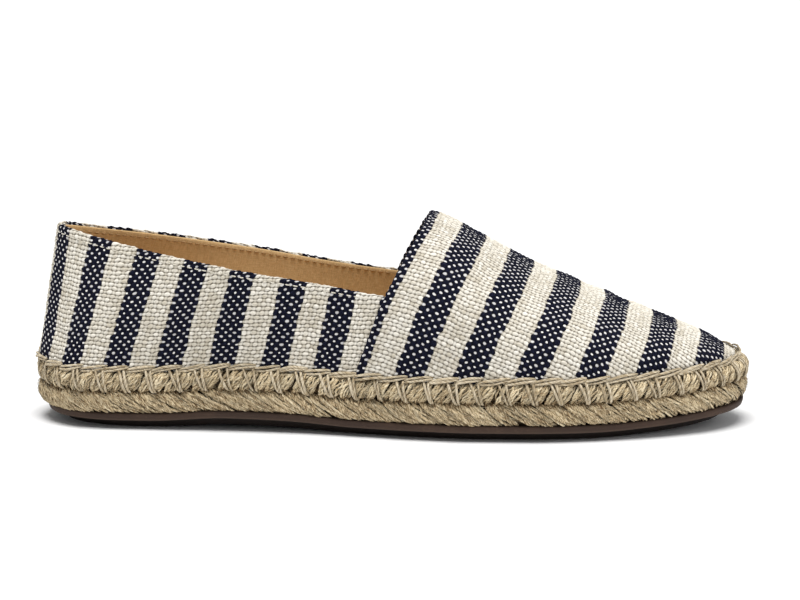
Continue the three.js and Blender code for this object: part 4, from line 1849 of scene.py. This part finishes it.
@dataclass
class Outsole:
    """The thin moulded rubber sole with a fine ribbed tread.

    Attributes:
        last: the form.
        material: its finish.
        columns: points along it, and across those of its underside.
        groove: depth of the tread's grooves, which are rib apart.
        wave: height of the grooves' wave, and its length over a whole turn.
        wall: where a rib's side begins and ends, as shares of half a rib.
        border: share of the width that stays plain.
        band: shares of the thickness between which the tread's colour, partly painted shade, gives way to the
            side's.
        top_rows: lines of points over the top.
        RINGS: levels at which the side wall has a line of points, as shares of the thickness.
    """

    last: Last
    material: Material
    columns: int = 260
    across: int = 56
    groove: float = 0.9
    rib: float = 5.2
    wave: Pair = (2.2, 9.0)
    wall: Pair = (0.62, 0.8)
    border: float = 0.14
    band: Pair = (0.57, 0.67)
    top_rows: int = 10
    RINGS = (0.12, 0.25, 0.37, 0.48, 0.52, 0.56, 0.575, 0.59, 0.61, 0.64, 0.75, 0.88, 1.0, 1.05, 1.08)
    LEVELS = Table(
        "height side heel toe",
        [
            (0, 8.5, 11.0, 10.5), (0.25, 7.2, 9.8, 8.8), (0.48, 5.4, 8.0, 6.6),
            (0.56, 3.1, 5.4, 3.5), (0.59, 2.4, 4.6, 2.6), (0.64, 2.1, 4.3, 2.2),
            (1.0, 1.7, 3.9, 1.7), (1.08, 2.3, 4.5, 2.4),
        ],
    )

    def tread(self, x: Array, y: Array, edge: Array) -> Array:
        """Depth of the tread's grooves, which stop short of the edge."""
        wave = self.wave[0] * np.sin(y / self.wave[1])
        rib = np.abs(np.mod((x + wave) / self.rib, 1) - 0.5) * 2
        return self.groove * smooth(rib, *self.wall) * smooth(edge, 0.0, self.border)

    def make(self) -> Object:
        """The sole as one closed skin: underside, rounded side and top."""
        last = self.last
        turn = np.linspace(0, math.pi, self.columns)
        rows = []

        def ring(side: Side, height: float) -> Array:
            """One line of the side wall."""
            inset = Inset(*map(float, self.LEVELS.insets(height)))
            back = -last.tip + inset.heel
            front = last.tip - inset.toe
            x = lerp(back, front, (1 - np.cos(turn)) / 2)
            z = LIFT.at("lift", last.share(x)) + height * last.rubber_thick
            return np.stack([x, last.outline_y(x, side.value, inset), z], axis=-1)

        low = [ring(side, 0.0) for side in Side]
        for share in (np.linspace(-1, 1, self.across) + 1) / 2:
            line = lerp(low[0], low[1], share)
            edge = 1 - abs(2 * share - 1) + 0 * line[:, 0]
            line[:, 2] += self.tread(line[:, 0], line[:, 1], np.minimum(edge, np.sin(turn)))
            rows.append(line)
        rows += [ring(Side.MEDIAL, level) for level in self.RINGS]
        top = [ring(side, self.RINGS[-1]) for side in Side]
        rows += [lerp(top[1], top[0], share) for share in np.linspace(0.05, 0.95, self.top_rows)]
        rows += [ring(Side.LATERAL, level) for level in self.RINGS[::-1]]
        points = np.stack(rows + [rows[0]])
        piece = make_mesh("rubber_outsole", points, grid_quads(*points.shape[:2], flip=True))
        # the shade attribute: 0 low down, where the colour turns to the tread colour with its painted shade
        over_floor = points[..., 2] - LIFT.at("lift", last.share(points[..., 0]))
        lay_shade(piece, smooth(over_floor / last.rubber_thick, *self.band))
        return settle(piece, Slot.RUBBER, self.material, "outsole")


@dataclass(frozen=True)
class Sun:
    """A broad soft light from far away.

    Attributes:
        name: its name.
        toward: direction from the shoe to the light.
        spread: its width as seen from the shoe, in degrees.
        strength: its strength.
    """

    name: str
    toward: tuple[float, float, float]
    spread: float
    strength: float

    def make(self) -> None:
        """Adds the light to the scene."""
        data = bpy.data.lights.new(self.name, "SUN")
        data.angle = math.radians(self.spread)
        data.energy = self.strength
        light = bpy.data.objects.new(self.name, data)
        light.rotation_mode = "QUATERNION"
        light.rotation_quaternion = Vector(self.toward).to_track_quat("Z", "Y")
        bpy.context.scene.collection.objects.link(light)


@dataclass
class Studio:
    """Camera, pale floor and soft light.

    Attributes:
        azimuth: how far the camera is turned to the toe, in degrees, and elevation how far up.
        target: the point it turns about, in millimetres, at the given distance.
        lens: its focal length.
        aim_right: how far to the right of the target it looks, and aim_up how far above.
        near: nearest thing it shows, in metres, and far the farthest.
        floor_size: width of the floor, in metres, and floor_tones its two close greys.
        sky: colour of the light from all round, and sky_strength its strength.
        suns: the other lights.
    """

    azimuth: float = 4.0
    elevation: float = 10.0
    target: tuple[float, float, float] = (0.0, 0.0, 30.0)
    distance: float = 1100.0
    lens: float = 139.1
    aim_right: float = 3.23
    aim_up: float = 12.41
    near: float = 0.01
    far: float = 60.0
    floor_size: float = 14.0
    floor_tones: Pair = (0.88, 0.89)
    sky: Colour = (0.98, 0.99, 1.0)
    sky_strength: float = 0.37
    suns: tuple[Sun, ...] = (
        Sun("overhead", (-0.03, -0.2, 1.0), 36, 3.4),
        Sun("from_the_toe", (1.0, -0.2, 0.4), 50, 0.75),
    )

    def make_camera(self) -> None:
        """The camera, on the lateral side and a little above."""
        a = math.radians(self.azimuth)
        e = math.radians(self.elevation)
        back = Vector((math.sin(a) * math.cos(e), -math.cos(a) * math.cos(e), math.sin(e)))
        right = Vector((math.cos(a), math.sin(a), 0))
        up = back.cross(right)
        target = Vector(self.target)
        place = target + back * self.distance
        aim = target + right * self.aim_right + up * self.aim_up
        data = bpy.data.cameras.new("camera")
        data.lens = self.lens
        data.clip_start = self.near
        data.clip_end = self.far
        camera = bpy.data.objects.new("camera", data)
        camera.location = place * MM
        camera.rotation_mode = "QUATERNION"
        camera.rotation_quaternion = (aim - place).to_track_quat("-Z", "Y")
        bpy.context.scene.collection.objects.link(camera)
        bpy.context.scene.camera = camera

    def make_floor(self) -> None:
        """A wide pale floor just under the sole."""
        half = self.floor_size / 2 / MM
        corners = np.array([[-half, -half, 0], [half, -half, 0], [-half, half, 0], [half, half, 0]], float)
        floor = make_mesh("floor", corners, grid_quads(2, 2))
        g = Graph("floor_paint")
        tone = g.noise(3.0, 2.0)
        colour = g.blend(tone, *((grey, grey, grey) for grey in self.floor_tones))
        floor.data.materials.append(g.finish(colour, 0.7, g.bump(tone, 0.00001, 0.1)))

    def build(self) -> None:
        """Makes the camera, floor, sky and lights."""
        self.make_camera()
        self.make_floor()
        world = bpy.data.worlds.new("studio")
        bpy.context.scene.world = world
        world.use_nodes = True
        background = world.node_tree.nodes["Background"]
        background.inputs["Color"].default_value = (*self.sky, 1)
        background.inputs["Strength"].default_value = self.sky_strength
        for sun in self.suns:
            sun.make()
        bpy.context.scene.view_settings.view_transform = "Standard"


def report(pieces: Sequence[Object]) -> None:
    """Says what each piece is and how many triangles it has."""
    total = 0
    for piece in pieces:
        triangles = sum(len(polygon.vertices) - 2 for polygon in piece.data.polygons)
        LOG.info("%s: %d triangles", piece.name, triangles)
        total += triangles
    LOG.info("all pieces: %d triangles", total)


def main() -> None:
    """Builds the shoe from its sub-assemblies, in order."""
    logging.basicConfig(level=logging.INFO, format="%(message)s")
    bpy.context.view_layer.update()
    Studio().build()
    rim = Rim(LAST)
    jute = JUTE_STRAND.make()
    wound = JUTE_CORE_SHADED.make()
    twine = JUTE_TWINE.make()
    cotton = LiningFinish().make()
    hem_thread = HEM_THREAD.make()
    lining_thread = LINING_THREAD.make()
    canvas = Canvas(LAST, CanvasFinish().make())
    lining = Lining(canvas, cotton)
    stitch = BlanketStitch(LAST, rim, twine)
    pieces = [canvas.make_quarter(), canvas.make_vamp(), lining.make_quarter(), lining.make_vamp()]
    pieces.append(Insole(LAST, cotton).make())
    pieces += SewnRows(canvas, hem_thread, lining_thread).build()
    pieces += JuteSole(LAST, rim, jute, wound).build()
    pieces += [stitch.make_legs(), stitch.make_chain()]
    pieces.append(Outsole(LAST, RubberFinish().make()).make())
    report(pieces)


if __name__ == "__main__":
    main()
